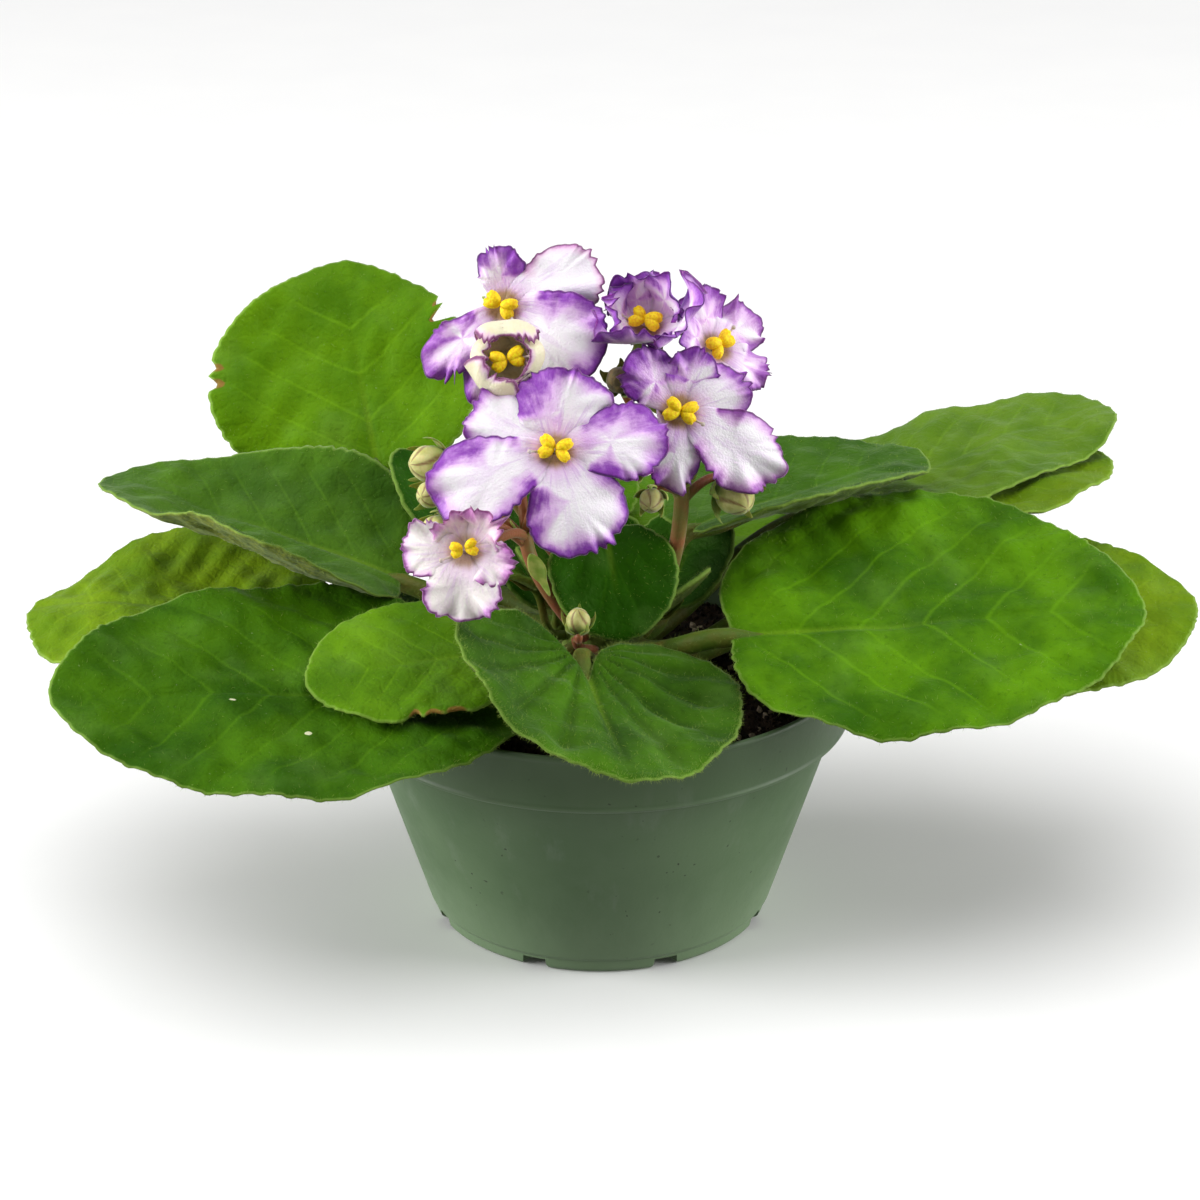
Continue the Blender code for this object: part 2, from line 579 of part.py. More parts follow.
def make_stalk(name, stalk, surface, collection):
    """A peduncle with its pedicels, and the green cup behind each open flower."""
    azimuth, height = math.radians(stalk["start"][0]), stalk["start"][1]
    outward = np.array([math.cos(azimuth), math.sin(azimuth), 0.0])
    foot = outward * seat_radius(height, stalk["radius"]) + np.array([0.0, 0.0, height])
    fork = np.array(stalk["fork"], float)
    rise = np.linalg.norm(fork - foot)
    root = foot + outward
    low, high = (rise * share for share in STALK_HANDLES)
    path = bezier((root, root + (outward + [0, 0, 1.0]) * low, fork - [0, 0, high], fork), STALK_POINTS)
    path = np.vstack([foot, path])
    radii = np.full(len(path), stalk["radius"])
    base = as_mesh(name, tube_curve(name, path, radii, PETIOLE_ROUNDNESS), surface, collection)
    pieces = []
    heads = [(flower, COROLLA_THICKNESS / 2 + GAP + RECEPTACLE) for flower in FLOWERS.values()]
    heads += [(bud, bud["length"] / 2 + GAP) for bud in BUDS.values()]
    heads = [(head, setback) for head, setback in heads if head["stalk"] == name]
    for number, (head, setback) in enumerate(heads):
        out = direction(head["heading"], head["pitch"])
        end = np.array(head["centre"]) - out * setback
        leave = fork - np.array([0.0, 0.0, 0.4 + PEDICEL_STEP * number])
        neck = end - out
        reach = np.linalg.norm(neck - leave)
        climb = (neck - leave) / reach + [0, 0, PEDICEL_CLIMB]
        first, last = (reach * share for share in PEDICEL_HANDLES)
        path = bezier((leave, leave + climb * first, neck - out * last, neck), PEDICEL_POINTS)
        path = np.vstack([path, end])
        radii = np.linspace(stalk["radius"] * PEDICEL_START, PEDICEL, len(path))
        pedicel = tube_curve(name, path, radii, PEDICEL_ROUNDNESS)
        pieces.append(as_mesh(f"{name}_pedicel_{number}", pedicel, surface, collection))
        if "petals" in head:
            sizes = (RECEPTACLE, RECEPTACLE, RECEPTACLE)
            pieces.append(
                ball(f"{name}_cup_{number}", end, facing_frame(head), sizes, surface, collection, 10, 6))
    made = join(base, pieces)
    shade(made.data)
    return made


def main():
    clear_scene()
    plant = new_collection("potted_african_violet")
    cutters = new_collection("cutters")
    green_plastic = material("green_plastic", (0.16, 0.24, 0.15), 0.45)
    soil = material("potting_mix", (0.03, 0.02, 0.015), 0.95)
    stem = material("stem_green", (0.30, 0.34, 0.10), 0.6)
    leaf_green = material("leaf_green", (0.10, 0.26, 0.03), 0.55)
    make_pot(green_plastic, plant, cutters)
    turned("potting_mix", soil_profile(), soil, plant)
    turned("crown", crown_profile(), stem, plant, steps=20)
    for name, leaf in LEAVES.items():
        make_leaf(name, leaf, leaf_green, plant)
    petal = material("petal_white_violet", (0.75, 0.55, 0.85), 0.5)
    pollen = material("anther_yellow", (0.85, 0.60, 0.03), 0.5)
    calyx = material("bud_green", (0.42, 0.45, 0.20), 0.6)
    for name, flower in FLOWERS.items():
        corolla = add_object(name, corolla_mesh(name, flower), petal, plant)
        shade(corolla.data)
        make_anthers(name.replace("flower", "anthers"), flower, pollen, plant)
    for name, bud in BUDS.items():
        make_bud(name, bud, calyx, plant)
    for name, stalk in STALKS.items():
        make_stalk(name, stalk, stem, plant)


main()
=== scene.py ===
import math

import bmesh
import bpy
import numpy as np
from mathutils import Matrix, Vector


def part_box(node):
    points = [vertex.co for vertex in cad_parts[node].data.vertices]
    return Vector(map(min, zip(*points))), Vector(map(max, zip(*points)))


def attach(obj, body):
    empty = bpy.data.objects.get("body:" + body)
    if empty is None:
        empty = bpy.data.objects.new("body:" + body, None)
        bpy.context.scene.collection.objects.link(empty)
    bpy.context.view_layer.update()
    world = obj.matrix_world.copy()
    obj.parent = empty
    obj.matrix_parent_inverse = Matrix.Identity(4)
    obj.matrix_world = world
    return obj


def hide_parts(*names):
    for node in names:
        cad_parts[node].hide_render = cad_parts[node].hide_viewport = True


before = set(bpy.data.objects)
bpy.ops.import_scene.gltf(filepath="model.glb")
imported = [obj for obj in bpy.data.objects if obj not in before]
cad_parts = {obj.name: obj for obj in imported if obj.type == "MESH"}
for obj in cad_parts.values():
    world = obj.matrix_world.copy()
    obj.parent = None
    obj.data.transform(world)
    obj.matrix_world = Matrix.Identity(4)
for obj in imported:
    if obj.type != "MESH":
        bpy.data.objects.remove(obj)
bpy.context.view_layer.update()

# ------------------------------------------------------------------------------------------- camera
# A long lens held a little above the plant, square to its front.

CAMERA_RISE = math.radians(22.5)
CAMERA_DISTANCE = 0.75
CAMERA_AIM = Vector((0.0, 0.0, 0.070))
LENS_LENGTH = 106.2
SENSOR_WIDTH = 36.0


def put(name, data):
    """A new object in the scene, holding data."""
    made = bpy.data.objects.new(name, data)
    bpy.context.scene.collection.objects.link(made)
    return made


lens = bpy.data.cameras.new("camera")
lens.lens = LENS_LENGTH
lens.sensor_width = SENSOR_WIDTH
camera = put("camera", lens)
backwards = Vector((0.0, -math.cos(CAMERA_RISE), math.sin(CAMERA_RISE)))
camera.location = CAMERA_AIM + backwards * CAMERA_DISTANCE
camera.rotation_euler = (-backwards).to_track_quat("-Z", "Y").to_euler()
bpy.context.scene.camera = camera

# ---------------------------------------------------------------------------------------------- pot
# A thin-walled round nursery pot, injection moulded in one shot of grey-green polypropylene. A stepped
# band stiffens the rim, the body tapers to a shallow foot, and drain holes break through at the corner.

MM = 0.001
FULL_TURN = 2.0 * np.pi

pot_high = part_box("pot")[1]
POT_HEIGHT = pot_high[2] / MM
RIM_RADIUS = pot_high[0] / MM
BAND_HEIGHT = 12.5
BAND_FOOT_RADIUS = RIM_RADIUS - 0.5
BODY_TOP_RADIUS = RIM_RADIUS - 3.5
BASE_RADIUS = 36.0
FOOT_HEIGHT = 3.4
POT_WALL = 1.4
FLOOR_THICKNESS = 1.6
LEDGE = POT_HEIGHT - BAND_HEIGHT
BAND_BEAD = 0.7
FLOOR_CORNER = 1.2
LIP_ROUND = 0.9
CORNER_ROUND = 0.5
POT_STEPS = 192
DRAIN_HOLES = 8
DRAIN_RADIUS = 3.2
DRAIN_CIRCLE = 34.2
DRAIN_DEPTH = 5.0


def body_radius(height):
    """Outside radius of the pot's tapered body."""
    return BASE_RADIUS + (BODY_TOP_RADIUS - BASE_RADIUS) * height / LEDGE


def soften(points, reach, steps=3):
    """The line of points with each corner rounded over at most reach on either side."""
    points = np.array(points, float)
    out = [points[0]]
    for before, corner, after in zip(points, points[1:], points[2:]):
        back, on = before - corner, after - corner
        start = corner + back * min(reach / np.linalg.norm(back), 0.45)
        end = corner + on * min(reach / np.linalg.norm(on), 0.45)
        for t in np.linspace(0.0, 1.0, steps + 1):
            out.append((1 - t) ** 2 * start + 2 * (1 - t) * t * corner + t**2 * end)
    out.append(points[-1])
    return np.array(out)


def shell(rings, first, last, part=0, **values):
    """A closed skin over rings of points between two end points, its faces turned outwards. part is the
    number of its finish; values are named numbers for its points, one for each ring point or one for all."""
    rows, columns = rings.shape[:2]
    points = np.vstack([rings.reshape(-1, 3), first, last])
    i, j = np.meshgrid(np.arange(rows - 1), np.arange(columns), indexing="ij")
    here, there = i * columns + j, i * columns + (j + 1) % columns
    quads = np.stack([here, there, there + columns, here + columns], axis=-1).reshape(-1, 4)
    j = np.arange(columns)
    beyond = (j + 1) % columns
    start = np.stack([np.full(columns, rows * columns), beyond, j], axis=-1)
    row = (rows - 1) * columns
    end = np.stack([np.full(columns, rows * columns + 1), row + j, row + beyond], axis=-1)
    triangles = np.vstack([quads[:, :3], quads[:, [0, 2, 3]], start, end])
    corners = points[triangles] - points.mean(axis=0)
    volume = np.einsum("ij,ij->i", corners[:, 0], np.cross(corners[:, 1], corners[:, 2])).sum()
    caps = np.vstack([start, end])
    if volume < 0:
        quads, caps = quads[:, ::-1], caps[:, ::-1]
    kept = {}
    for key, value in values.items():
        value = np.broadcast_to(np.asarray(value, float), (rows, columns))
        kept[key] = np.concatenate([value.reshape(-1), [value[0].mean(), value[-1].mean()]])
    return dict(points=points, faces=quads.tolist() + caps.tolist(), part=part, values=kept)


def build(name, shells, finishes):
    """One mesh object from shells in millimetres, with its place in its mesh."""
    points, faces, parts, names = [], [], [], set()
    for one in shells:
        start = sum(len(p) for p in points)
        points.append(one["points"])
        faces += [[start + corner for corner in face] for face in one["faces"]]
        parts += [one["part"]] * len(one["faces"])
        names |= set(one["values"])
    mesh = bpy.data.meshes.new(name)
    mesh.from_pydata((np.vstack(points) * MM).tolist(), [], faces)
    mesh.polygons.foreach_set("material_index", parts)
    for key in sorted(names):
        numbers = [one["values"].get(key, np.zeros(len(one["points"]))) for one in shells]
        mesh.attributes.new(key, "FLOAT", "POINT").data.foreach_set(
            "value", np.concatenate(numbers).astype(np.float32))
    mesh.shade_smooth()
    for finish in finishes:
        mesh.materials.append(finish)
    return put(name, mesh)


def finished_mesh(thing):
    """A plain mesh of the object with its modifiers carried out."""
    return bpy.data.meshes.new_from_object(thing.evaluated_get(bpy.context.evaluated_depsgraph_get()))


def hand_over(piece, slot, *nodes):
    """The piece belongs to the one body and stands for the CAD nodes; slot is not used."""
    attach(piece, "root")
    if nodes:
        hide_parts(*nodes)


def turned(profile, steps, part=0, **values):
    """A shell turned about Z from (radius, height) points that start and end on the axis."""
    azimuth = np.arange(steps) / steps * FULL_TURN
    radius, height = profile[1:-1, 0], profile[1:-1, 1]
    rings = np.stack([
        radius[:, None] * np.cos(azimuth),
        radius[:, None] * np.sin(azimuth),
        np.broadcast_to(height[:, None], (len(height), steps))], axis=-1)
    return shell(rings, (0, 0, profile[0, 1]), (0, 0, profile[-1, 1]), part, **values)


def tint(red, green, blue):
    """A linear colour from paint-chart numbers between 0 and 255."""
    share = np.array([red, green, blue]) / 255.0
    linear = np.where(share <= 0.04045, share / 12.92, ((share + 0.055) / 1.055) ** 2.4)
    return (*linear.tolist(), 1.0)


def add_node(tree, kind, inputs, **settings):
    """One node with its settings made, and each input linked from a socket or set to a value."""
    node = tree.nodes.new(kind)
    for key, value in settings.items():
        setattr(node, key, value)
    for key, value in inputs.items():
        if isinstance(value, bpy.types.NodeSocket):
            tree.links.new(value, node.inputs[key])
        else:
            node.inputs[key].default_value = value
    return node


class Finish:
    """A procedural material. Each call adds one or two nodes and gives back the socket that comes out."""

    def __init__(self, name, **fixed):
        self.material = bpy.data.materials.new(name)
        self.material.use_nodes = True
        self.tree = self.material.node_tree
        self.shader = self.tree.nodes["Principled BSDF"]
        for socket, value in fixed.items():
            self.shader.inputs[socket.replace("_", " ")].default_value = value

    def add(self, kind, inputs, output=0, **settings):
        return add_node(self.tree, "ShaderNode" + kind, inputs, **settings).outputs[output]

    def place(self, x=1.0, y=1.0, z=1.0):
        """Where a point is on the object, in metres, stretched along the axes."""
        where = self.add("TexCoord", {}, "Object")
        return self.add("Mapping", {"Vector": where, "Scale": (x, y, z)})

    def height(self):
        return self.add("SeparateXYZ", {0: self.place()}, "Z")

    def number(self, name):
        """A number that build() gave to the mesh's points."""
        return self.add("Attribute", {}, "Fac", attribute_name=name)

    def noise(self, size, detail=3.0, roughness=0.5, where=None):
        """Soft noise whose features are about size millimetres across."""
        where = self.place() if where is None else where
        inputs = {"Vector": where, "Scale": 1.0 / (size * MM), "Detail": detail, "Roughness": roughness}
        return self.add("TexNoise", inputs)

    def cells(self, size):
        """The distance to the walls of cells about size millimetres across."""
        inputs = {"Vector": self.place(), "Scale": 1.0 / (size * MM)}
        return self.add("TexVoronoi", inputs, "Distance", feature="DISTANCE_TO_EDGE")

    def reckon(self, operation, first, second=0.0):
        return self.add("Math", {0: first, 1: second}, operation=operation)

    def times(self, first, second):
        return self.reckon("MULTIPLY", first, second)

    def plus(self, first, second):
        return self.reckon("ADD", first, second)

    def minus(self, first, second):
        return self.reckon("SUBTRACT", first, second)

    def ease(self, value, low, high):
        """0 at low, 1 at high, and a smooth step between them."""
        inputs = {"Value": value, "From Min": low, "From Max": high}
        return self.add("MapRange", inputs, interpolation_type="SMOOTHSTEP")

    def between(self, value, low, high):
        """Spreads a share from 0 to 1 over low to high."""
        return self.add("MapRange", {"Value": value, "To Min": low, "To Max": high})

    def mix(self, share, first, second):
        return self.add("Mix", {0: share, 6: first, 7: second}, 2, data_type="RGBA")

    def over(self, colour, tone, share, strength=1.0):
        """Lays tone over colour, as strongly as strength where share is 1."""
        if strength != 1.0:
            share = self.times(share, strength)
        return self.mix(share, colour, tone)

    def dress(self, colour, roughness=None, relief=None, depth=0.1):
        """Joins the sockets to the shader; depth is the height of the relief in millimetres."""
        self.tree.links.new(colour, self.shader.inputs["Base Color"])
        if roughness is not None:
            self.tree.links.new(roughness, self.shader.inputs["Roughness"])
        if relief is not None:
            bump = self.add("Bump", {"Height": relief, "Distance": depth * MM, "Strength": 1.0}, "Normal")
            self.tree.links.new(bump, self.shader.inputs["Normal"])
        return self.material


def green_plastic():
    """Clouded grey-green plastic, with painted shade from the leaves near the top, painted light from the
    floor at the foot, and rubbed along the band.
    """
    finish = Finish("green_plastic", Specular_IOR_Level=0.28)
    up_pot = finish.height()
    clouds = finish.noise(34, detail=4)
    streaks = finish.noise(9, detail=5, roughness=0.6, where=finish.place(1, 1, 0.35))
    colour = finish.mix(finish.ease(clouds, 0.35, 0.68), tint(80, 106, 70), tint(95, 120, 84))
    colour = finish.over(colour, tint(126, 142, 120), finish.ease(streaks, 0.56, 0.74), 0.35)
    specks = finish.ease(finish.noise(1.3, detail=1), 0.735, 0.775)
    specks = finish.times(specks, finish.ease(finish.noise(16), 0.45, 0.62))
    colour = finish.over(colour, tint(44, 50, 36), specks)
    # Painted shade: the plastic darkens towards the rim, where the leaves above shade the pot.
    painted_leaf_shade = finish.ease(finish.plus(up_pot, finish.times(clouds, 0.012)), 0.040, 0.062)
    colour = finish.over(colour, tint(54, 70, 44), painted_leaf_shade, 0.70)
    # Painted light: the plastic grows paler towards the foot, as if lit from the white floor.
    painted_floor_light = finish.ease(finish.plus(up_pot, finish.times(streaks, 0.02)), 0.034, 0.012)
    colour = finish.over(colour, tint(124, 147, 113), painted_floor_light, 0.60)
    from_edge = finish.reckon("ABSOLUTE", finish.minus(up_pot, (LEDGE + BAND_BEAD) * MM))
    colour = finish.over(colour, tint(112, 132, 102), finish.ease(from_edge, 0.8 * MM, 0.2 * MM), 0.3)
    rub = finish.noise(4, detail=5, roughness=0.65)
    return finish.dress(colour, finish.between(rub, 0.36, 0.56), finish.noise(0.9, detail=4), 0.03)


inside = [
    (0.0, FLOOR_THICKNESS),
    (body_radius(FLOOR_THICKNESS) - POT_WALL - FLOOR_CORNER, FLOOR_THICKNESS),
    (body_radius(FLOOR_THICKNESS + FLOOR_CORNER) - POT_WALL, FLOOR_THICKNESS + FLOOR_CORNER),
    (BODY_TOP_RADIUS - POT_WALL, LEDGE + POT_WALL),
    (BAND_FOOT_RADIUS - POT_WALL, LEDGE + POT_WALL + 0.4),
    (RIM_RADIUS - POT_WALL, POT_HEIGHT - LIP_ROUND),
]
lip = [
    (RIM_RADIUS - POT_WALL + 0.3, POT_HEIGHT),
    (RIM_RADIUS - 0.3, POT_HEIGHT),
    (RIM_RADIUS, POT_HEIGHT - LIP_ROUND),
    (RIM_RADIUS - 0.35, POT_HEIGHT - 1.6),
]
outside = [
    (BAND_FOOT_RADIUS - 0.25, LEDGE + 1.3),
    (BAND_FOOT_RADIUS + 0.1, LEDGE + BAND_BEAD),
    (BAND_FOOT_RADIUS - 0.4, LEDGE),
    (BODY_TOP_RADIUS, LEDGE - 0.5),
    (body_radius(FOOT_HEIGHT + 0.4), FOOT_HEIGHT + 0.4),
    (body_radius(FOOT_HEIGHT) - 0.7, FOOT_HEIGHT - 0.3),
    (BASE_RADIUS, 0.9),
    (BASE_RADIUS - 0.9, 0.0),
    (0.0, 0.0),
]
pot_plastic = green_plastic()
pot = build("pot_shell", [turned(soften(inside + lip + outside, CORNER_ROUND), POT_STEPS)], [pot_plastic])

drill_shells = []
for number in range(DRAIN_HOLES):
    azimuth = FULL_TURN * (number + 0.5) / DRAIN_HOLES
    centre = np.array([math.cos(azimuth), math.sin(azimuth), 0.0]) * DRAIN_CIRCLE
    bit = turned(np.array([(0.0, -DRAIN_DEPTH / 2), (DRAIN_RADIUS, -DRAIN_DEPTH / 2),
                           (DRAIN_RADIUS, DRAIN_DEPTH / 2), (0.0, DRAIN_DEPTH / 2)]), 24)
    bit["points"] = bit["points"] + centre
    drill_shells.append(bit)
drill = build("drill", drill_shells, [pot_plastic])
bore = pot.modifiers.new("drain holes", "BOOLEAN")
bore.operation = "DIFFERENCE"
bore.object = drill
bored = finished_mesh(pot)
pot.modifiers.clear()
pot.data = bored
pot.data.set_sharp_from_angle(angle=math.radians(50))
bpy.data.objects.remove(drill)
hand_over(pot, "pot_plastic", "pot")

# -------------------------------------------------------------------------------------- potting mix
# Peat-based potting mix, pressed in around the crown: dark fibrous crumbs with a few grains of perlite
# and bark, lower at the wall than at the middle.

SOIL_EDGE_HEIGHT = 50.0
SOIL_CENTRE_HEIGHT = 51.5
SOIL_GAP = 0.3
SOIL_STEPS = 160
SOIL_ROUGHNESS = 0.55
CRUMB_SIZE = 1.5
CRUMBS_PER_MM2 = 0.42
PERLITE_PER_MM2 = 0.016

CRUMB_LEAST = 0.3  # the smallest crumb's share of the largest
GRAIN_SIZE = 2.2
GRAIN_LEAST = 0.5
CRUMB_TUMBLE = 1.2


def peat():
    """Moist peat: nearly black, fibrous, without shine."""
    finish = Finish("potting_mix", Specular_IOR_Level=0.2)
    fibre = finish.noise(1.6, detail=6, roughness=0.7)
    colour = finish.mix(finish.ease(fibre, 0.35, 0.75), tint(16, 12, 10), tint(66, 50, 36))
    return finish.dress(colour, finish.between(fibre, 0.8, 0.98), fibre, 0.5)


def perlite():
    """Puffed white grains, stained tan by the peat."""
    finish = Finish("perlite", Roughness=0.85)
    pits = finish.noise(0.5, detail=3)
    return finish.dress(finish.mix(pits, tint(176, 160, 140), tint(126, 106, 84)), None, pits, 0.2)


def lumps(a, b, pitch, seed, parts=9):
    """Smooth random swells about one unit high, every pitch millimetres or so."""
    draw = np.random.default_rng(seed)
    total = np.zeros(np.broadcast(a, b).shape)
    for _ in range(parts):
        heading, phase = draw.uniform(0.0, FULL_TURN, 2)
        size = pitch * draw.uniform(0.7, 1.5)
        total = total + np.sin(FULL_TURN * (a * math.cos(heading) + b * math.sin(heading)) / size + phase)
    return total / math.sqrt(parts / 2)


soil_radius = BAND_FOOT_RADIUS - POT_WALL - SOIL_GAP
soil_line = [(0.0, SOIL_CENTRE_HEIGHT)]
for share in np.linspace(0.02, 1, 54):
    fall = (SOIL_CENTRE_HEIGHT - SOIL_EDGE_HEIGHT) * share**2
    soil_line.append((soil_radius * share, SOIL_CENTRE_HEIGHT - fall))
soil_line += [
    (soil_radius, LEDGE + POT_WALL + 0.4 + SOIL_GAP),
    (BODY_TOP_RADIUS - POT_WALL - SOIL_GAP, LEDGE + POT_WALL + SOIL_GAP),
    (body_radius(FLOOR_THICKNESS + FLOOR_CORNER) - POT_WALL - SOIL_GAP, FLOOR_THICKNESS + 1.4),
    (body_radius(FLOOR_THICKNESS) - POT_WALL - 1.4, FLOOR_THICKNESS + SOIL_GAP),
    (0.0, FLOOR_THICKNESS + SOIL_GAP),
]
soil_shell = turned(np.array(soil_line), SOIL_STEPS)
x, y, z = soil_shell["points"].T
on_top = np.clip((z - SOIL_EDGE_HEIGHT + 1.0) / 0.8, 0.0, 1.0)
on_top = on_top * np.clip((soil_radius - np.hypot(x, y)) / 3, 0, 1)
z += on_top * SOIL_ROUGHNESS * (lumps(x, y, 14, 11) + 0.5 * lumps(x, y, 4, 12))
soil_shell["points"][:, 2] = z
soil_shell["values"]["bed"] = on_top
dark_peat = peat()
soil = build("soil_bed", [soil_shell], [dark_peat])
hand_over(soil, "potting_mix", "potting_mix")


def grow(name, source, finish, stamp, density, weight, size, least, lean, seed):
    """Scatters small stamped shapes over source with Geometry Nodes and gives back one plain mesh object.
    weight names the number on source's points that thins or thickens them. A shape's scale is between size
    and the share least of it, and lean is how far its axis may tip away from the surface's normal."""
    amounts = {"Density": density, "Size": size, "Least": least, "Lean": lean}
    tree = bpy.data.node_groups.new(name, "GeometryNodeTree")
    tree.interface.new_socket("Geometry", in_out="INPUT", socket_type="NodeSocketGeometry")
    sockets = {}
    for label, value in amounts.items():
        sockets[label] = tree.interface.new_socket(label, in_out="INPUT", socket_type="NodeSocketFloat")
        sockets[label].default_value = value
    tree.interface.new_socket("Geometry", in_out="OUTPUT", socket_type="NodeSocketGeometry")

    def add(kind, inputs, **settings):
        return add_node(tree, kind, inputs, **settings).outputs

    given = add("NodeGroupInput", {})
    weighed = add("GeometryNodeInputNamedAttribute", {"Name": weight}, data_type="FLOAT")["Attribute"]
    amount = add("ShaderNodeMath", {0: given["Density"], 1: weighed}, operation="MULTIPLY")
    scatter = add("GeometryNodeDistributePointsOnFaces", {
        "Mesh": given["Geometry"], "Density": amount[0], "Seed": seed})
    sway = add("FunctionNodeRandomValue", {
        0: (-1.0, -1.0, -1.0), 1: (1.0, 1.0, 1.0), "Seed": seed + 1}, data_type="FLOAT_VECTOR")
    leaning = add("ShaderNodeVectorMath", {0: sway[0], "Scale": given["Lean"]}, operation="SCALE")
    way = add("ShaderNodeVectorMath", {0: scatter["Normal"], 1: leaning[0]}, operation="ADD")
    turn = add("FunctionNodeAlignRotationToVector", {"Vector": way[0]}, axis="Z")
    smallest = add("ShaderNodeMath", {0: given["Size"], 1: given["Least"]}, operation="MULTIPLY")
    sized = add("FunctionNodeRandomValue", {
        2: smallest[0], 3: given["Size"], "Seed": seed + 2}, data_type="FLOAT")
    shape = add("GeometryNodeObjectInfo", {"Object": stamp})
    stamped = add("GeometryNodeInstanceOnPoints", {
        "Points": scatter["Points"], "Instance": shape["Geometry"], "Rotation": turn[0], "Scale": sized[1]})
    real = add("GeometryNodeRealizeInstances", {0: stamped[0]})
    painted = add("GeometryNodeSetMaterial", {"Geometry": real[0], "Material": finish})
    add("NodeGroupOutput", {0: painted[0]})

    growth = source.modifiers.new(name, "NODES")
    growth.node_group = tree
    for label, value in amounts.items():
        growth[sockets[label].identifier] = value
    mesh = finished_mesh(source)
    source.modifiers.remove(growth)
    mesh.name = name
    return put(name, mesh)


def pebble(name, seed):
    """A broken grain one unit across, with twenty flats."""
    draw = np.random.default_rng(seed)
    golden = (1 + math.sqrt(5)) / 2
    corners = [(x, y * golden, 0) for x in (-1, 1) for y in (-1, 1)]
    corners += [(0, x, y * golden) for x in (-1, 1) for y in (-1, 1)]
    corners += [(y * golden, 0, x) for x in (-1, 1) for y in (-1, 1)]
    corners = np.array(corners, float) / math.hypot(1, golden) / 2
    corners = corners * draw.uniform(0.7, 1.25, (12, 1)) * draw.uniform(0.6, 1.3, (1, 3))
    mesh = bpy.data.meshes.new(name)
    hull = bmesh.new()
    for corner in corners:
        hull.verts.new(corner * MM)
    bmesh.ops.convex_hull(hull, input=hull.verts)
    hull.to_mesh(mesh)
    hull.free()
    return put(name, mesh)


crumb_stamp = pebble("crumb_stamp", 5)
crumbs = grow("soil_crumbs", soil, dark_peat, crumb_stamp, CRUMBS_PER_MM2 / MM**2, "bed",
              CRUMB_SIZE, CRUMB_LEAST, CRUMB_TUMBLE, 21)
hand_over(crumbs, "potting_mix")
grains = grow("perlite_grains", soil, perlite(), crumb_stamp, PERLITE_PER_MM2 / MM**2, "bed",
              GRAIN_SIZE, GRAIN_LEAST, CRUMB_TUMBLE, 31)
hand_over(grains, "potting_mix")
bpy.data.objects.remove(crumb_stamp)

# -------------------------------------------------------------------------------------------- crown
# The plant's short woody stem. Leaves and flower stalks leave it all round, and the scars of old leaves
# show as low knobs under a fresh green tip.

CROWN_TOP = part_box("crown")[1][2] / MM
CROWN_PROFILE = ((6.5, 43.0), (7.6, 47.0), (8.2, 52.0), (8.0, 60.0), (6.8, 64.5), (4.0, 67.2))
CROWN_STEPS = 72
SCAR_HEIGHT = 0.35
SCARS_ROUND = 8


def crown_bark():
    """Corky and brown at the foot, fresh green towards the tip."""
    finish = Finish("crown_bark", Specular_IOR_Level=0.3)
    scaly = finish.noise(1.8, detail=5)
    old = finish.mix(scaly, tint(58, 48, 26), tint(112, 100, 52))
    fresh = finish.mix(scaly, tint(86, 116, 34), tint(138, 158, 66))
    colour = finish.over(old, fresh, finish.ease(finish.height(), 0.050, 0.064))
    return finish.dress(colour, finish.between(scaly, 0.55, 0.8), scaly, 0.5)


crown_line = soften([(0.0, CROWN_TOP), *CROWN_PROFILE[::-1], (0.0, CROWN_PROFILE[0][1])], 1.5, 6)
crown_shell = turned(crown_line, CROWN_STEPS)
x, y, z = crown_shell["points"].T
around = np.arctan2(y, x)
knobs = SCAR_HEIGHT * np.cos(around * SCARS_ROUND + z * 0.9) * np.cos(z * 1.1)
radius = np.hypot(x, y)
swell = 1 + knobs / np.maximum(radius, 2.0) * np.clip(radius / 5, 0, 1)
crown_shell["points"][:, 0] = x * swell
crown_shell["points"][:, 1] = y * swell
crown = build("crown_stem", [crown_shell], [crown_bark()])
hand_over(crown, "stem", "crown")

# ------------------------------------------------------------------------------------------- leaves
# Fleshy, downy leaves on thick round stalks, in a flat rosette. The blade is quilted between sunken veins,
# its rim is scalloped and pale, and the midrib stands out underneath as the end of the leaf stalk.

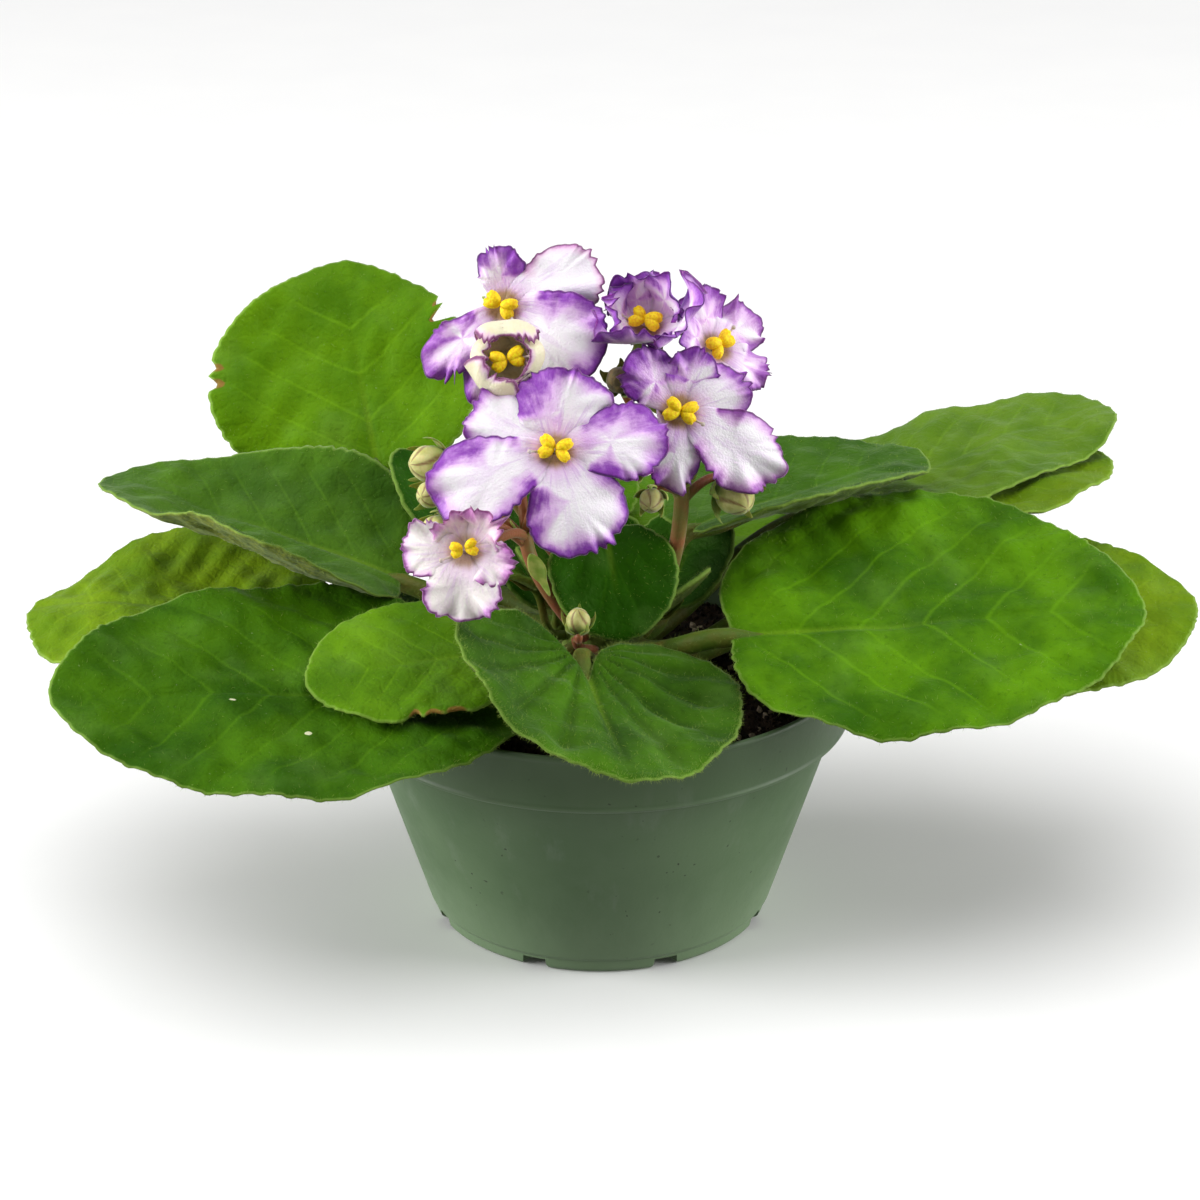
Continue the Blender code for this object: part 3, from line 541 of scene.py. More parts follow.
# joint is where the stalk meets the blade; heading, pitch and roll lay the blade; start is the stalk's
# azimuth and height on the crown, and stalk its radius. cup lifts the sides, bend and twist turn the blade
# along its length in degrees, and square, side and ovate shape its outline. notch and spread are the depth
# and half-angle of the inlet at the stalk, and cleft the depth of a slit in it. veins counts the side veins,
# pleat is how deep they fold the blade, and fan is 1 where they spread from the joint and 0 where they leave
# the midrib in pairs. down is how hairy it is. A bite is (degrees from the tip, depth, width in degrees), and
# a scar is (place along, place to the left, radius).
LEAF_HABIT = dict(
    side=0.0, twist=0, notch=0.15, spread=0.22, cleft=0.0, fan=0.0, down=1.0, bites=(), scars=())
LEAVES = {
    "leaf_back_left": dict(
        joint=(-49, 40, 84.5), heading=108, pitch=50, roll=-20, length=55, width=59, bend=8, cup=0.12,
        square=2.0, side=0.12, ovate=0.09, twist=16, start=(132, 61), stalk=2.5,
        tone="fresh", veins=6, pleat=0.45, fan=0.2,
        bites=((-66, 5.0, 4.0), (-58, 2.0, 2.0), (86, 2.2, 2.5), (79, 1.6, 2.0))),
    "leaf_left_cupped": dict(
        joint=(-42, 8, 72), heading=163, pitch=13, roll=-9, length=75, width=49, bend=0, cup=0.54,
        square=1.9, side=0.08, ovate=0.23, twist=9, start=(165, 62.5), stalk=2.6,
        tone="frost", veins=7, pleat=0.45),
    "leaf_far_left": dict(
        joint=(-64, 4, 63.6), heading=165, pitch=4, roll=-8, length=67, width=58, bend=18, cup=0.115,
        square=1.9, ovate=0.08, twist=-7, start=(182, 57), stalk=2.4,
        tone="yellow", veins=7, pleat=0.12),
    "leaf_front_left_large": dict(
        joint=(-19, -29, 64), heading=192, pitch=0, roll=-8, length=97, width=70, bend=-8, cup=0.05,
        square=1.9, side=-0.02, ovate=0.08, twist=-16, notch=0.12, start=(220, 55), stalk=2.7,
        tone="glade", veins=8, pleat=0.5,
        scars=((43, 14, 1.0), (54, -3, 0.7), (57, 4, 0.6), (47, -8, 0.6))),
    "leaf_front_left_small": dict(
        joint=(-19, -27, 69.5), heading=197, pitch=2, roll=-10, length=44, width=39, bend=8, cup=0.05,
        square=2.05, ovate=0.08, twist=-9, notch=0.12, start=(232, 61.5), stalk=1.8,
        tone="fresh", veins=6, pleat=0.4, bites=((76, 2.6, 4.0), (88, 1.6, 6.0), (102, 1.4, 7.0))),
    "leaf_front_centre": dict(
        joint=(-3, -31.5, 69.6), heading=281, pitch=-22, roll=-20, length=49, width=61, bend=-25, cup=0.22,
        square=2.3, side=-0.04, ovate=0.25, twist=8, notch=0.42, spread=0.30, start=(272, 57), stalk=2.2,
        cleft=0.34, tone="shade", veins=8, pleat=1.5, fan=1.0, down=4.0),
    # Its dark tone is painted shade from the flowers above it.
    "leaf_young_centre": dict(
        joint=(1, -3.5, 87), heading=283, pitch=-38, roll=2, length=26, width=27, bend=28, cup=0.14,
        square=2.1, ovate=0.10, start=(292, 65), stalk=1.4,
        tone="dark", veins=6, pleat=0.7, fan=0.9, down=2.2),
    "leaf_right_large": dict(
        joint=(27, -22, 72), heading=3, pitch=-1, roll=20, length=90, width=75, bend=-11, cup=0.02,
        square=1.85, side=0.14, ovate=0.03, notch=0.14, spread=0.30, start=(318, 61.5), stalk=2.7,
        tone="sunny", veins=8, pleat=0.55, fan=0.15, scars=((48, 12, 0.6), (59, -8, 0.6))),
    "leaf_far_right": dict(
        joint=(51, 11, 65), heading=-2, pitch=2, roll=17, length=82, width=58, bend=5, cup=0.05,
        square=2.2, side=-0.14, ovate=0.08, twist=3, start=(350, 57), stalk=2.4,
        tone="yellow", veins=8, pleat=0.4),
    "leaf_right_cupped": dict(
        joint=(19.5, 11.5, 82.5), heading=24, pitch=8, roll=-10, length=60, width=46, bend=0, cup=0.29,
        square=2.15, ovate=0.12, twist=10, start=(20, 61.5), stalk=2.3,
        tone="blue", veins=6, pleat=0.45),
    "leaf_back_right_upper": dict(
        joint=(44, 33.5, 77), heading=25, pitch=10, roll=-7, length=84, width=49, bend=0, cup=0.06,
        square=2.4, side=-0.03, ovate=0.10, twist=12, start=(45, 57.5), stalk=2.5,
        tone="pale", veins=8, pleat=0.4),
    "leaf_back_right_lower": dict(
        joint=(62, 31.5, 76.5), heading=20, pitch=11, roll=-6, length=58, width=44, bend=5, cup=0.05,
        square=2.1, side=-0.15, ovate=0.10, start=(21, 54), stalk=2.1,
        tone="yellow", veins=6, pleat=0.4),
    "leaf_back_centre_left": dict(
        joint=(-12, 38, 70), heading=104, pitch=12, roll=0, length=58, width=50, bend=20, cup=0.12,
        square=2.1, ovate=0.12, notch=0.18, spread=0.24, start=(108, 56), stalk=2.3,
        tone="deep", veins=7, pleat=0.5, fan=0.1),
    "leaf_back_centre_right": dict(
        joint=(20, 42, 66), heading=68, pitch=6, roll=0, length=56, width=48, bend=18, cup=0.10,
        square=2.1, ovate=0.12, notch=0.18, spread=0.24, start=(76, 54.5), stalk=2.3,
        tone="fresh", veins=7, pleat=0.5, fan=0.1),
    "leaf_young_left": dict(
        joint=(-14, -4, 75), heading=208, pitch=40, roll=0, length=14, width=10, bend=30, cup=0.25,
        square=2.1, ovate=0.12, notch=0.12, start=(198, 63), stalk=1.0,
        tone="fresh", veins=5, pleat=0.25, down=1.5),
}
LEAVES = {name: LEAF_HABIT | leaf for name, leaf in LEAVES.items()}
# The shaded and the sunlit green of each tone, its underside, how much its down shines, and for one of them
# how dark the painted shade in its furrows is.
TONES = {
    "deep": (tint(38, 80, 1), tint(82, 130, 4), tint(100, 122, 44), 0.06),
    "blue": (tint(38, 76, 6), tint(66, 108, 10), tint(92, 112, 30), 0.16),
    "fresh": (tint(64, 106, 2), tint(96, 140, 8), tint(116, 138, 46), 0.06),
    "pale": (tint(68, 104, 12), tint(97, 131, 26), tint(128, 148, 56), 0.20),
    "yellow": (tint(77, 112, 4), tint(112, 141, 14), tint(134, 150, 50), 0.08),
    "glade": (tint(34, 74, 1), tint(68, 112, 3), tint(96, 118, 40), 0.04),
    "shade": (tint(32, 66, 6), tint(66, 110, 8), tint(92, 112, 30), 0.16, 0.46),
    "sunny": (tint(42, 85, 1), tint(90, 140, 4), tint(100, 122, 44), 0.06),
    "frost": (tint(40, 76, 8), tint(72, 112, 16), tint(138, 142, 48), 0.24),
    # dark is painted shade: a darker green for leaves deep in the plant's shaded middle.
    "dark": (tint(18, 58, 1), tint(38, 88, 2), tint(64, 88, 26), 0.04),
}
BLADE_STEP = 0.95  # spacing of the blade's points
BLADE_THICKNESS = 1.5
SCALLOP_PITCH = 3.1
SCALLOP_DEPTH = 0.36
BROAD_SWELL, BROAD_PITCH = 0.62, 26
FINE_SWELL, FINE_PITCH = 0.26, 8
RIM_WAVE = 0.30
RIM_DROP = 0.7  # how far the rim turns down
RIM_PUCKER = 0.22
MIDRIB_DEPTH = 0.9
MIDRIB_HALF_WIDTH = 1.4
MIDRIB_RIDGE = 0.6  # how far the midrib stands out below
VEIN_RIDGE = 0.30
RIB_SINK = 0.95  # how far below the blade's middle the top of its rib lies
HAIR_LENGTH = 1.15
HAIR_RADIUS = 0.032
HAIR_LEAST = 0.45  # the shortest hair's share of the longest
HAIR_LEAN = 0.75
HAIRS_PER_MM2 = 0.30
STALK_GAP = 0.3
CLEFT_SPREAD = 0.13
TIP_POINT = 0.04


def leaf_frame(leaf):
    """Unit vectors along the midrib, across it to its left, and out of the upper surface."""
    heading, pitch, roll = (math.radians(leaf[key]) for key in ("heading", "pitch", "roll"))
    along = np.array([
        math.cos(heading) * math.cos(pitch), math.sin(heading) * math.cos(pitch), math.sin(pitch)])
    left = np.array([-math.sin(heading), math.cos(heading), 0.0])
    up = np.cross(along, left)
    across = left * math.cos(roll) + up * math.sin(roll)
    return along, across, np.cross(along, across)


def margin_radius(leaf, angle):
    """Distance from the blade's centre to its rim; angle 0 is the tip, pi the notch at the stalk."""
    c, s = np.cos(angle), np.sin(angle)
    half_length = leaf["length"] / 2
    half_width = leaf["width"] / 2 * (1 - leaf["ovate"] * c) * (1 + leaf["side"] * np.sign(s))
    power = leaf["square"]
    radius = (np.abs(c / half_length) ** power + np.abs(s / half_width) ** power) ** (-1 / power)
    from_sinus = np.abs(np.arctan2(np.sin(angle - np.pi), np.cos(angle - np.pi)))
    radius = radius * (1 - leaf["notch"] * np.exp(-((from_sinus / leaf["spread"]) ** 2)))
    radius = radius * (1 - leaf["cleft"] * np.exp(-((from_sinus / CLEFT_SPREAD) ** 2)))
    return radius * (1 + TIP_POINT * np.exp(-((np.arctan2(s, c) / 0.25) ** 2)))


def laid_out(leaf, a, b):
    """Where a point of the flat blade, a along the midrib and b to its left, lies in the plant."""
    curvature = math.radians(leaf["bend"]) / leaf["length"] or 1e-9
    turn = curvature * a
    lift = leaf["cup"] * b * b / (leaf["width"] / 2)
    twist = math.radians(leaf["twist"]) * a / leaf["length"]
    x = np.sin(turn) / curvature + lift * np.sin(turn)
    z = -(1 - np.cos(turn)) / curvature + lift * np.cos(turn) + b * np.sin(twist)
    y = b * np.cos(twist)
    along, across, up = leaf_frame(leaf)
    return np.array(leaf["joint"]) + x[..., None] * along + y[..., None] * across + z[..., None] * up


def even_turns(reach, step):
    """Angles round an outline, step millimetres apart along it, and each one's share of the way round."""
    dense = np.linspace(-np.pi, np.pi, 1441)
    radius = reach(dense)
    x, y = radius * np.cos(dense), radius * np.sin(dense)
    run = np.concatenate([[0.0], np.cumsum(np.hypot(np.diff(x), np.diff(y)))])
    rounds = np.arange(int(run[-1] / step)) / int(run[-1] / step)
    return np.interp(rounds * run[-1], run, dense), rounds, run[-1]


def waves(rounds, low, high, seed):
    """A ripple that closes on itself after one round, of low to high waves, about one unit high."""
    draw = np.random.default_rng(seed)
    total = np.zeros_like(rounds)
    for turns in range(low, high + 1):
        total = total + draw.uniform(0.5, 1.0) * np.sin(FULL_TURN * (turns * rounds + draw.uniform()))
    return total / math.sqrt((high - low + 1) * 0.3)


def step_up(value, low, high):
    """0 below low, 1 above high, and a smooth step between."""
    share = np.clip((value - low) / (high - low), 0.0, 1.0)
    return share * share * (3 - 2 * share)


def vein_count(leaf, a, b):
    """Runs through a whole number on every side vein, counted from the leaf's base."""
    x, y = a / leaf["length"], np.abs(b) / (leaf["width"] / 2)
    pinnate = leaf["veins"] * (x - 0.26 * y - 0.14 * y * y)
    palmate = -leaf["veins"] * np.arctan2(np.abs(b), a + 3.0) / np.pi * 1.15
    return (1 - leaf["fan"]) * pinnate + leaf["fan"] * palmate


def blade_shell(leaf, seed):
    """The blade as one closed skin: upper side from the middle to the rim, and back along the underside."""
    turn, rounds, rim_length = even_turns(lambda angle: margin_radius(leaf, angle), BLADE_STEP)
    margin = margin_radius(leaf, turn)
    steps = np.linspace(0.0, 1.0, int(margin.mean() / BLADE_STEP) + 1)[1:, None]
    share = 1.25 * steps - 0.25 * steps**3
    teeth = round(rim_length / SCALLOP_PITCH)
    drift = rounds + 0.006 * waves(rounds, 2, 7, seed)
    scallop = SCALLOP_DEPTH * (np.abs(np.sin(np.pi * teeth * drift)) ** 0.7 - 0.7)
    scallop = scallop * (1 + 0.4 * waves(rounds, 3, 9, seed + 1)) + 0.08 * waves(rounds, 4, 12, seed + 2)
    degrees = np.degrees(turn)
    torn = np.zeros_like(turn)
    for place, depth, width in leaf["bites"]:
        bite = np.exp(-np.abs((degrees - place) / width) ** 3)
        scallop = scallop - depth * bite
        torn = np.maximum(torn, bite)
    radius = share * margin + scallop * step_up(share, 0.72, 1.0)
    a = radius * np.cos(turn) + leaf["length"] / 2 * (1 - leaf["notch"])
    b = radius * np.sin(turn)

    middle = laid_out(leaf, a, b)
    normal = np.cross(laid_out(leaf, a + 0.5, b) - middle, laid_out(leaf, a, b + 0.5) - middle)
    normal /= np.linalg.norm(normal, axis=-1)[..., None]
    x, y = a / leaf["length"], np.abs(b) / (leaf["width"] / 2)
    rim = (1 - share) * margin
    count = vein_count(leaf, a, b)
    from_vein = np.abs(count - np.round(count))
    beside = step_up(np.abs(b), 0.5, 5.0) * (0.25 + 0.75 * step_up(rim, 0.0, 6.0))
    quilt = leaf["pleat"] * ((2 * from_vein) ** 0.7 - 0.7) * beside
    midrib = np.exp(-((b / MIDRIB_HALF_WIDTH) ** 2)) * np.clip(1 - x, 0, 1) ** 0.6
    size = min(leaf["width"] / 60, 1.2)
    relief = quilt - MIDRIB_DEPTH * size * midrib + size * (
        BROAD_SWELL * lumps(a, b, BROAD_PITCH, seed + 3) * step_up(np.abs(b) + a * 0.2, 0, 12)
        + FINE_SWELL * lumps(a, b, FINE_PITCH, seed + 4) * beside)
    relief = relief + size * share**5 * (RIM_WAVE * waves(rounds, 4, 9, seed + 5) - RIM_DROP)
    relief = relief + size * RIM_PUCKER * share**8 * np.sin(FULL_TURN * teeth * drift / 2)
    body = BLADE_THICKNESS / 2 * np.sqrt(np.clip(1 - share**12, 0, 1))
    ridges = VEIN_RIDGE * np.exp(-((from_vein / 0.09) ** 2)) * beside + MIDRIB_RIDGE * size * midrib
    upper = middle + normal * (relief + body)[..., None]
    lower = middle + normal * (relief - body - ridges * (share < 1))[..., None]
    rings = np.concatenate([upper, lower[-2::-1]])
    scarred = np.zeros_like(a)
    for along, over, width in leaf["scars"]:
        scarred = np.maximum(scarred, np.exp(-(((a - along) ** 2 + (b - over) ** 2) / width**2)))

    def both(value, low=None):
        value = np.broadcast_to(value, a.shape)
        low = value if low is None else np.broadcast_to(low, a.shape)
        return np.concatenate([value, low[-2::-1]])

    down = leaf["down"]
    edge_down = np.exp(-((rim / 1.2) ** 2))
    return shell(
        rings, upper[0].mean(axis=0), lower[0].mean(axis=0), 0,
        vein=both(count), across=both(b), along=both(x), rim=both(rim), outer=both(y),
        under=both(np.where(share < 1, 0.0, 0.5), 1.0), scar=both(scarred),
        torn=both(torn * step_up(share, 0.92, 0.97)),
        fuzz=both(down * (0.45 + 5.0 * edge_down), down * (0.35 + 2.5 * edge_down)))


def bezier(points, count):
    """count points along the cubic through four control points."""
    t = np.linspace(0.0, 1.0, count)[:, None]
    a, b, c, d = (np.array(point, float) for point in points)
    return (1 - t) ** 3 * a + 3 * (1 - t) ** 2 * t * b + 3 * (1 - t) * t**2 * c + t**3 * d


def seat_radius(height, stalk):
    """Where the flat end of a stalk of this radius clears the crown."""
    radii, heights = zip(*CROWN_PROFILE)
    return max(np.interp(height + side * stalk, heights, radii) for side in (-1, 0, 1)) + STALK_GAP


def stalk_path(leaf, count=26):
    """Points and radii of the leaf stalk from the crown to the blade, then on as the rib under it."""
    azimuth, height = math.radians(leaf["start"][0]), leaf["start"][1]
    outward = np.array([math.cos(azimuth), math.sin(azimuth), 0.0])
    stalk = leaf["stalk"]
    foot = outward * seat_radius(height, stalk) + np.array([0.0, 0.0, height])
    along, _, up = leaf_frame(leaf)
    joint = np.array(leaf["joint"]) - up * stalk * 0.55
    reach = np.linalg.norm(joint - foot)
    root = foot + outward
    path = bezier((root, root + outward * reach * 0.35, joint - along * reach * 0.35, joint), count)
    path = np.vstack([foot, path])
    radii = stalk * (1 - 0.2 * np.linspace(0, 1, len(path)) + 0.12 * np.exp(-np.linspace(0, 5, len(path))))
    shares = np.linspace(0.12, 1.0, 9)
    rib = laid_out(leaf, leaf["length"] * 0.42 * shares, 0.0 * shares)
    rib_radii = stalk * (0.74 - 0.58 * shares)
    rib = rib - up * (rib_radii + RIB_SINK * step_up(shares, 0.0, 0.3))[:, None]
    return np.vstack([path, rib]), np.concatenate([radii, rib_radii])


def tube(path, radii, sides, part=0, hollow=0.0, **values):
    """A round closed rod along path; hollow dents its upper side into a channel."""
    ahead = np.gradient(path, axis=0)
    ahead /= np.linalg.norm(ahead, axis=1)[:, None]
    side = np.cross(ahead[0], (0.0, 0.0, 1.0))
    if np.linalg.norm(side) < 0.1:
        side = np.cross(ahead[0], (0.0, 1.0, 0.0))
    turn = np.arange(sides) / sides * FULL_TURN
    rings = []
    for where, way, radius in zip(path, ahead, radii):
        side = side - way * side.dot(way)
        side /= np.linalg.norm(side)
        over = np.cross(side, way)
        dent = 1 - hollow * np.exp(-(((turn - np.pi / 2) / 0.5) ** 2))
        rings.append(where + radius * dent[:, None] * (
            np.cos(turn)[:, None] * side + np.sin(turn)[:, None] * over))
    return shell(np.array(rings), path[0], path[-1], part, **values)


def leaf_finish(name, shaded, sunlit, below, shine, painted_furrow_shade=0.0):
    """A quilted, downy leaf: clouded green above with soft patches of painted sheen and, for one tone,
    painted shade in its vein furrows; thinly veined, olive below, and pale along its rim.
    """
    finish = Finish(
        name, Specular_IOR_Level=0.16, Specular_Tint=tint(196, 255, 120),
        Sheen_Weight=shine, Sheen_Roughness=0.45, Sheen_Tint=tint(202, 226, 186),
        Subsurface_Weight=0.06, Subsurface_Scale=0.002, Subsurface_Radius=(0.4, 1.0, 0.1))
    vein, rim, along = finish.number("vein"), finish.number("rim"), finish.number("along")
    clouds = finish.ease(finish.noise(17, detail=4, roughness=0.55), 0.24, 0.76)
    fine = finish.noise(1.1, detail=4, roughness=0.65)
    colour = finish.mix(clouds, shaded, sunlit)
    off_vein = finish.reckon("ABSOLUTE", finish.minus(finish.reckon("FRACT", finish.plus(vein, 100.5)), 0.5))
    line = finish.times(finish.ease(off_vein, 0.075, 0.0), finish.ease(rim, 1.0, 12.0))
    pale = tuple(min(1.0, 1.25 * c + 0.03 * (0.6, 1.0, 0.1, 0)[i]) for i, c in enumerate(sunlit))
    colour = finish.over(colour, pale, line, 0.30)
    # Painted shade: the furrows beside the veins are darkened, as if less light reached into them.
    hollow = finish.times(finish.ease(off_vein, 0.26, 0.04), finish.ease(rim, 0.5, 9.0))
    colour = finish.over(colour, tuple(c * 0.5 for c in shaded[:3]) + (1.0,), hollow, painted_furrow_shade)
    midrib = finish.ease(finish.reckon("ABSOLUTE", finish.number("across")), 1.1, 0.1)
    colour = finish.over(colour, tint(122, 156, 30), finish.times(midrib, finish.ease(along, 0.62, 0.1)), 0.3)
    # Painted sheen: soft pale patches where the down would catch the light.
    painted_sheen = finish.ease(finish.noise(13, detail=3), 0.50, 0.72)
    colour = finish.over(colour, tint(112, 148, 74), painted_sheen, 0.14)
    dark = tuple(c * 0.72 for c in shaded[:3]) + (1.0,)
    colour = finish.over(colour, dark, finish.ease(fine, 0.55, 0.72), 0.4)
    specks = finish.ease(finish.noise(0.5, detail=2), 0.70, 0.80)
    colour = finish.over(colour, tint(190, 204, 160), specks, 0.25)
    under_colour = finish.mix(finish.ease(fine, 0.3, 0.7), below, tint(88, 98, 44))
    colour = finish.over(colour, under_colour, finish.ease(finish.number("under"), 0.35, 0.8))
    colour = finish.over(colour, tint(148, 178, 84), finish.ease(rim, 0.75, 0.15), 0.45)
    colour = finish.over(colour, tint(132, 100, 48), finish.ease(finish.number("torn"), 0.30, 0.80))
    colour = finish.over(colour, tint(214, 214, 178), finish.ease(finish.number("scar"), 0.45, 0.6))
    nets = finish.ease(finish.cells(2.6), 0.0, 0.22)
    relief = finish.plus(finish.times(fine, 0.7), finish.times(nets, 0.22))
    return finish.dress(colour, finish.between(fine, 0.42, 0.66), relief, 0.24)


def stalk_green():
    """A juicy leaf stalk, olive flushed with brown."""
    finish = Finish(
        "leaf_stalk_green", Specular_IOR_Level=0.25, Sheen_Weight=0.10, Sheen_Tint=tint(206, 226, 170),
        Subsurface_Weight=0.08, Subsurface_Scale=0.002)
    flush = finish.ease(finish.noise(6, detail=4), 0.35, 0.7)
    colour = finish.mix(flush, tint(70, 96, 12), tint(98, 96, 30))
    downy = finish.noise(0.8, detail=4)
    return finish.dress(colour, finish.between(downy, 0.45, 0.7), downy, 0.2)


def pale_down():
    """Hair that takes its colour from the leaf behind it."""
    finish = Finish("leaf_down", Roughness=0.5, Specular_IOR_Level=0.3)
    return finish.dress(finish.mix(finish.noise(3.0), tint(112, 142, 34), tint(164, 186, 92)))


leaf_stalk_green = stalk_green()
leaf_down = pale_down()
TONE_FINISHES = {tone: leaf_finish("leaf_" + tone, *mixed) for tone, mixed in TONES.items()}


def hair(name, thickness):
    """One stiff hair a millimetre tall: a three-sided spike."""
    corners = [(thickness * math.cos(t), thickness * math.sin(t), 0.0) for t in (0.0, 2.1, 4.2)]
    mesh = bpy.data.meshes.new(name)
    mesh.from_pydata((np.array([*corners, (0.0, 0.0, 1.0)]) * MM).tolist(), [], [
        (2, 1, 0), (0, 1, 3), (1, 2, 3), (2, 0, 3)])
    return put(name, mesh)


hair_stamp = hair("hair_stamp", HAIR_RADIUS)


def down_coat(name, piece, length, least, lean, seed):
    """The hairs on a piece, thick where its fuzz is high."""
    return grow(name + "_hairs", piece, leaf_down, hair_stamp, HAIRS_PER_MM2 / MM**2, "fuzz",
                length, least, lean, seed)


for number, (name, leaf) in enumerate(LEAVES.items()):
    path, radii = stalk_path(leaf)
    run = np.linspace(0.0, 1.0, len(path))[:, None]
    petiole = tube(path, radii, 20, 1, 0.12, fuzz=np.where(run < 0.8, 0.9, 0.0) + np.zeros((1, 20)))
    piece = build(name + "_blade", [blade_shell(leaf, 100 * number + 7), petiole],
                  [TONE_FINISHES[leaf["tone"]], leaf_stalk_green])
    coat = down_coat(name, piece, HAIR_LENGTH, HAIR_LEAST, HAIR_LEAN, 40 + number)
    hand_over(piece, "leaf", name)
    hand_over(coat, "leaf")

# The half-folded heart leaves round the growing tip, dark green as painted shade where the plant's middle
# lies in
# shadow: joint, heading, pitch, length, width, azimuth and height on the crown.
HEART_LEAVES = (
    ((-9, 8, 66), 122, 46, 27, 25, 128, 63.5),
    ((14, 16, 63), 52, 44, 27, 25, 60, 62),
    ((-9, -1, 69), 186, 52, 17, 13, 178, 64),
    ((4, 6, 71), 80, 62, 16, 14, 84, 64.5),
    ((-27, 19, 74), 150, 38, 29, 25, 126, 62),
    ((12, -3, 68), 332, 40, 18, 14, 338, 63.5),
    ((-33, 14, 61.5), 160, 10, 18, 13, 160, 58),
)
HEART_HAIR_LENGTH = 0.9
heart_shells = []
for number, (joint, heading, pitch, length, width, azimuth, height) in enumerate(HEART_LEAVES):
    leaf = LEAF_HABIT | dict(
        joint=joint, heading=heading, pitch=pitch, roll=0, length=length, width=width, bend=-14, cup=0.22,
        square=2.0, ovate=0.14, notch=0.12, start=(azimuth, height), stalk=1.1, veins=5, pleat=0.3, down=1.4)
    path, radii = stalk_path(leaf)
    heart_shells += [blade_shell(leaf, 3000 + 10 * number), tube(path, radii, 14, 1, 0.1, fuzz=1.4)]
heart = build("crown_heart_leaves", heart_shells, [TONE_FINISHES["dark"], leaf_stalk_green])
heart_coat = down_coat("crown_heart", heart, HEART_HAIR_LENGTH, HAIR_LEAST, HAIR_LEAN, 60)
hand_over(heart, "leaf")
hand_over(heart_coat, "leaf")

# ----------------------------------------------------------------------------------- flower stalks
# Soft round stalks, green flushed with copper and covered in down. Each forks into thin flower stems that
# end in a cup of five narrow sepals, with a pair of small pointed bracts at the fork.

STALKS = {
    "flower_stalk_left": dict(start=(110, 65.5), fork=(-22, 8, 103), radius=1.5),
    "flower_stalk_centre": dict(start=(244, 65), fork=(-15.5, -12, 91), radius=1.5),
    "flower_stalk_right": dict(start=(358, 65.5), fork=(17, -6, 99), radius=1.6),
    "flower_stalk_low": dict(start=(262, 62), fork=(-5, -15, 67.5), radius=1.0),
}
# centre is a flower's throat; heading and pitch give the way it faces. A petal is (angle seen from the front,
# counterclockwise from the right; length; width; lift out of the flower's plane; width of its violet border;
# how much of that lies on its left; how pink it is). ruffle is how wavy the petals are, curl how far they
# turn up towards their ends and roll how soon, fold how much their sides stand up, wrap how far they close
# round a cup, and tip how blunt they are. cream is 1 for a cream flower, raised lifts the pollen sacs out of
# the cup, and sacs is their size.
FLOWER_HABIT = dict(tip=2.0, roll=1.6, fold=-0.35, wrap=0.0, cream=0.0, raised=0.0, sacs=1.0)
FLOWERS = {
    "flower_top_left": dict(
        centre=(-20, 10, 132), heading=255, pitch=25, stalk="flower_stalk_left", ruffle=1.0, curl=-25,
        petals=((100, 13, 10, 30, 4.2, -0.9, 0.0), (28, 22, 15, 0, 1.3, 0.0, 0.8),
                (266, 23, 13, -8, 5.5, 0.3, 0.0), (224, 22, 10, 0, 5.5, -0.2, 0.1),
                (336, 24, 19, 5, 2.6, 0.9, 0.0))),
    "flower_half_open": dict(
        centre=(-19, -7, 125.5), heading=272, pitch=24, stalk="flower_stalk_centre", ruffle=0.25, curl=165,
        roll=1.0, wrap=1.0, raised=4.5, cream=1.0,
        petals=tuple((angle, 17.0, 13.5, 5, 0.7, 0.0, 0.9) for angle in (90, 234, 18, 162, 306))),
    "flower_centre": dict(
        centre=(-9, -23, 112), heading=270, pitch=33, stalk="flower_stalk_centre", ruffle=1.0, curl=-15,
        petals=((152, 20, 15, 0, 2.0, 0.2, 0.1), (80, 17, 20, 18, 4.6, 0.8, 0.0),
                (8, 23, 15, 5, 4.4, 0.4, 0.0), (290, 22, 20, -8, 3.0, -0.5, 0.0),
                (202, 27, 17, 0, 3.0, -0.3, 0.0))),
    "flower_right": dict(
        centre=(16, -9, 115.5), heading=283, pitch=22, stalk="flower_stalk_right", ruffle=1.2, curl=-10,
        tip=1.65,
        petals=((125, 16, 12, 10, 5.5, 0.2, 0.0), (65, 14, 11, 5, 4.0, 0.3, 0.0),
                (15, 16, 14, 5, 2.4, 0.0, 0.1), (262, 17, 11, -12, 2.4, -0.4, 0.1),
                (324, 26, 16, -6, 2.0, -0.3, 0.3))),
    "flower_back_left": dict(
        centre=(10, 8, 128.5), heading=245, pitch=50, stalk="flower_stalk_right", ruffle=1.4, curl=45,
        fold=0.7,
        petals=((130, 14, 13, 50, 5, 0.2, 0.0), (60, 15, 14, 55, 4.5, 0.0, 0.0),
                (350, 22, 16, 32, 5, 0.0, 0.0), (280, 21, 16, 44, 4, 0.0, 0.0),
                (205, 16, 13, 58, 3.5, 0.0, 0.0))),
    "flower_back_right": dict(
        centre=(24, 9, 123), heading=310, pitch=42, stalk="flower_stalk_right", ruffle=1.2, curl=10,
        petals=((85, 14, 11, 24, 4, 0.0, 0.1), (20, 14, 11, 10, 2.8, 0.0, 0.2),
                (310, 13, 11, 0, 2.8, 0.0, 0.2), (240, 14, 12, 18, 4, 0.0, 0.0),
                (155, 15, 13, 30, 5, 0.0, 0.0))),
    "flower_low_left": dict(
        centre=(-26.5, -43, 98.4), heading=262, pitch=30, stalk="flower_stalk_centre", ruffle=1.1, curl=-10,
        fold=0.3, cream=0.35, sacs=0.75,
        petals=((120, 9, 9, 52, 2.6, 0.0, 0.9), (50, 11, 10, 50, 3.0, 0.0, 0.9),
                (182, 13, 11, 0, 1.0, 0.0, 0.6), (335, 11, 9, 10, 2.4, 0.0, 0.7),
                (272, 14, 15, -8, 0.9, 0.0, 0.5))),
}
FLOWERS = {name: FLOWER_HABIT | flower for name, flower in FLOWERS.items()}
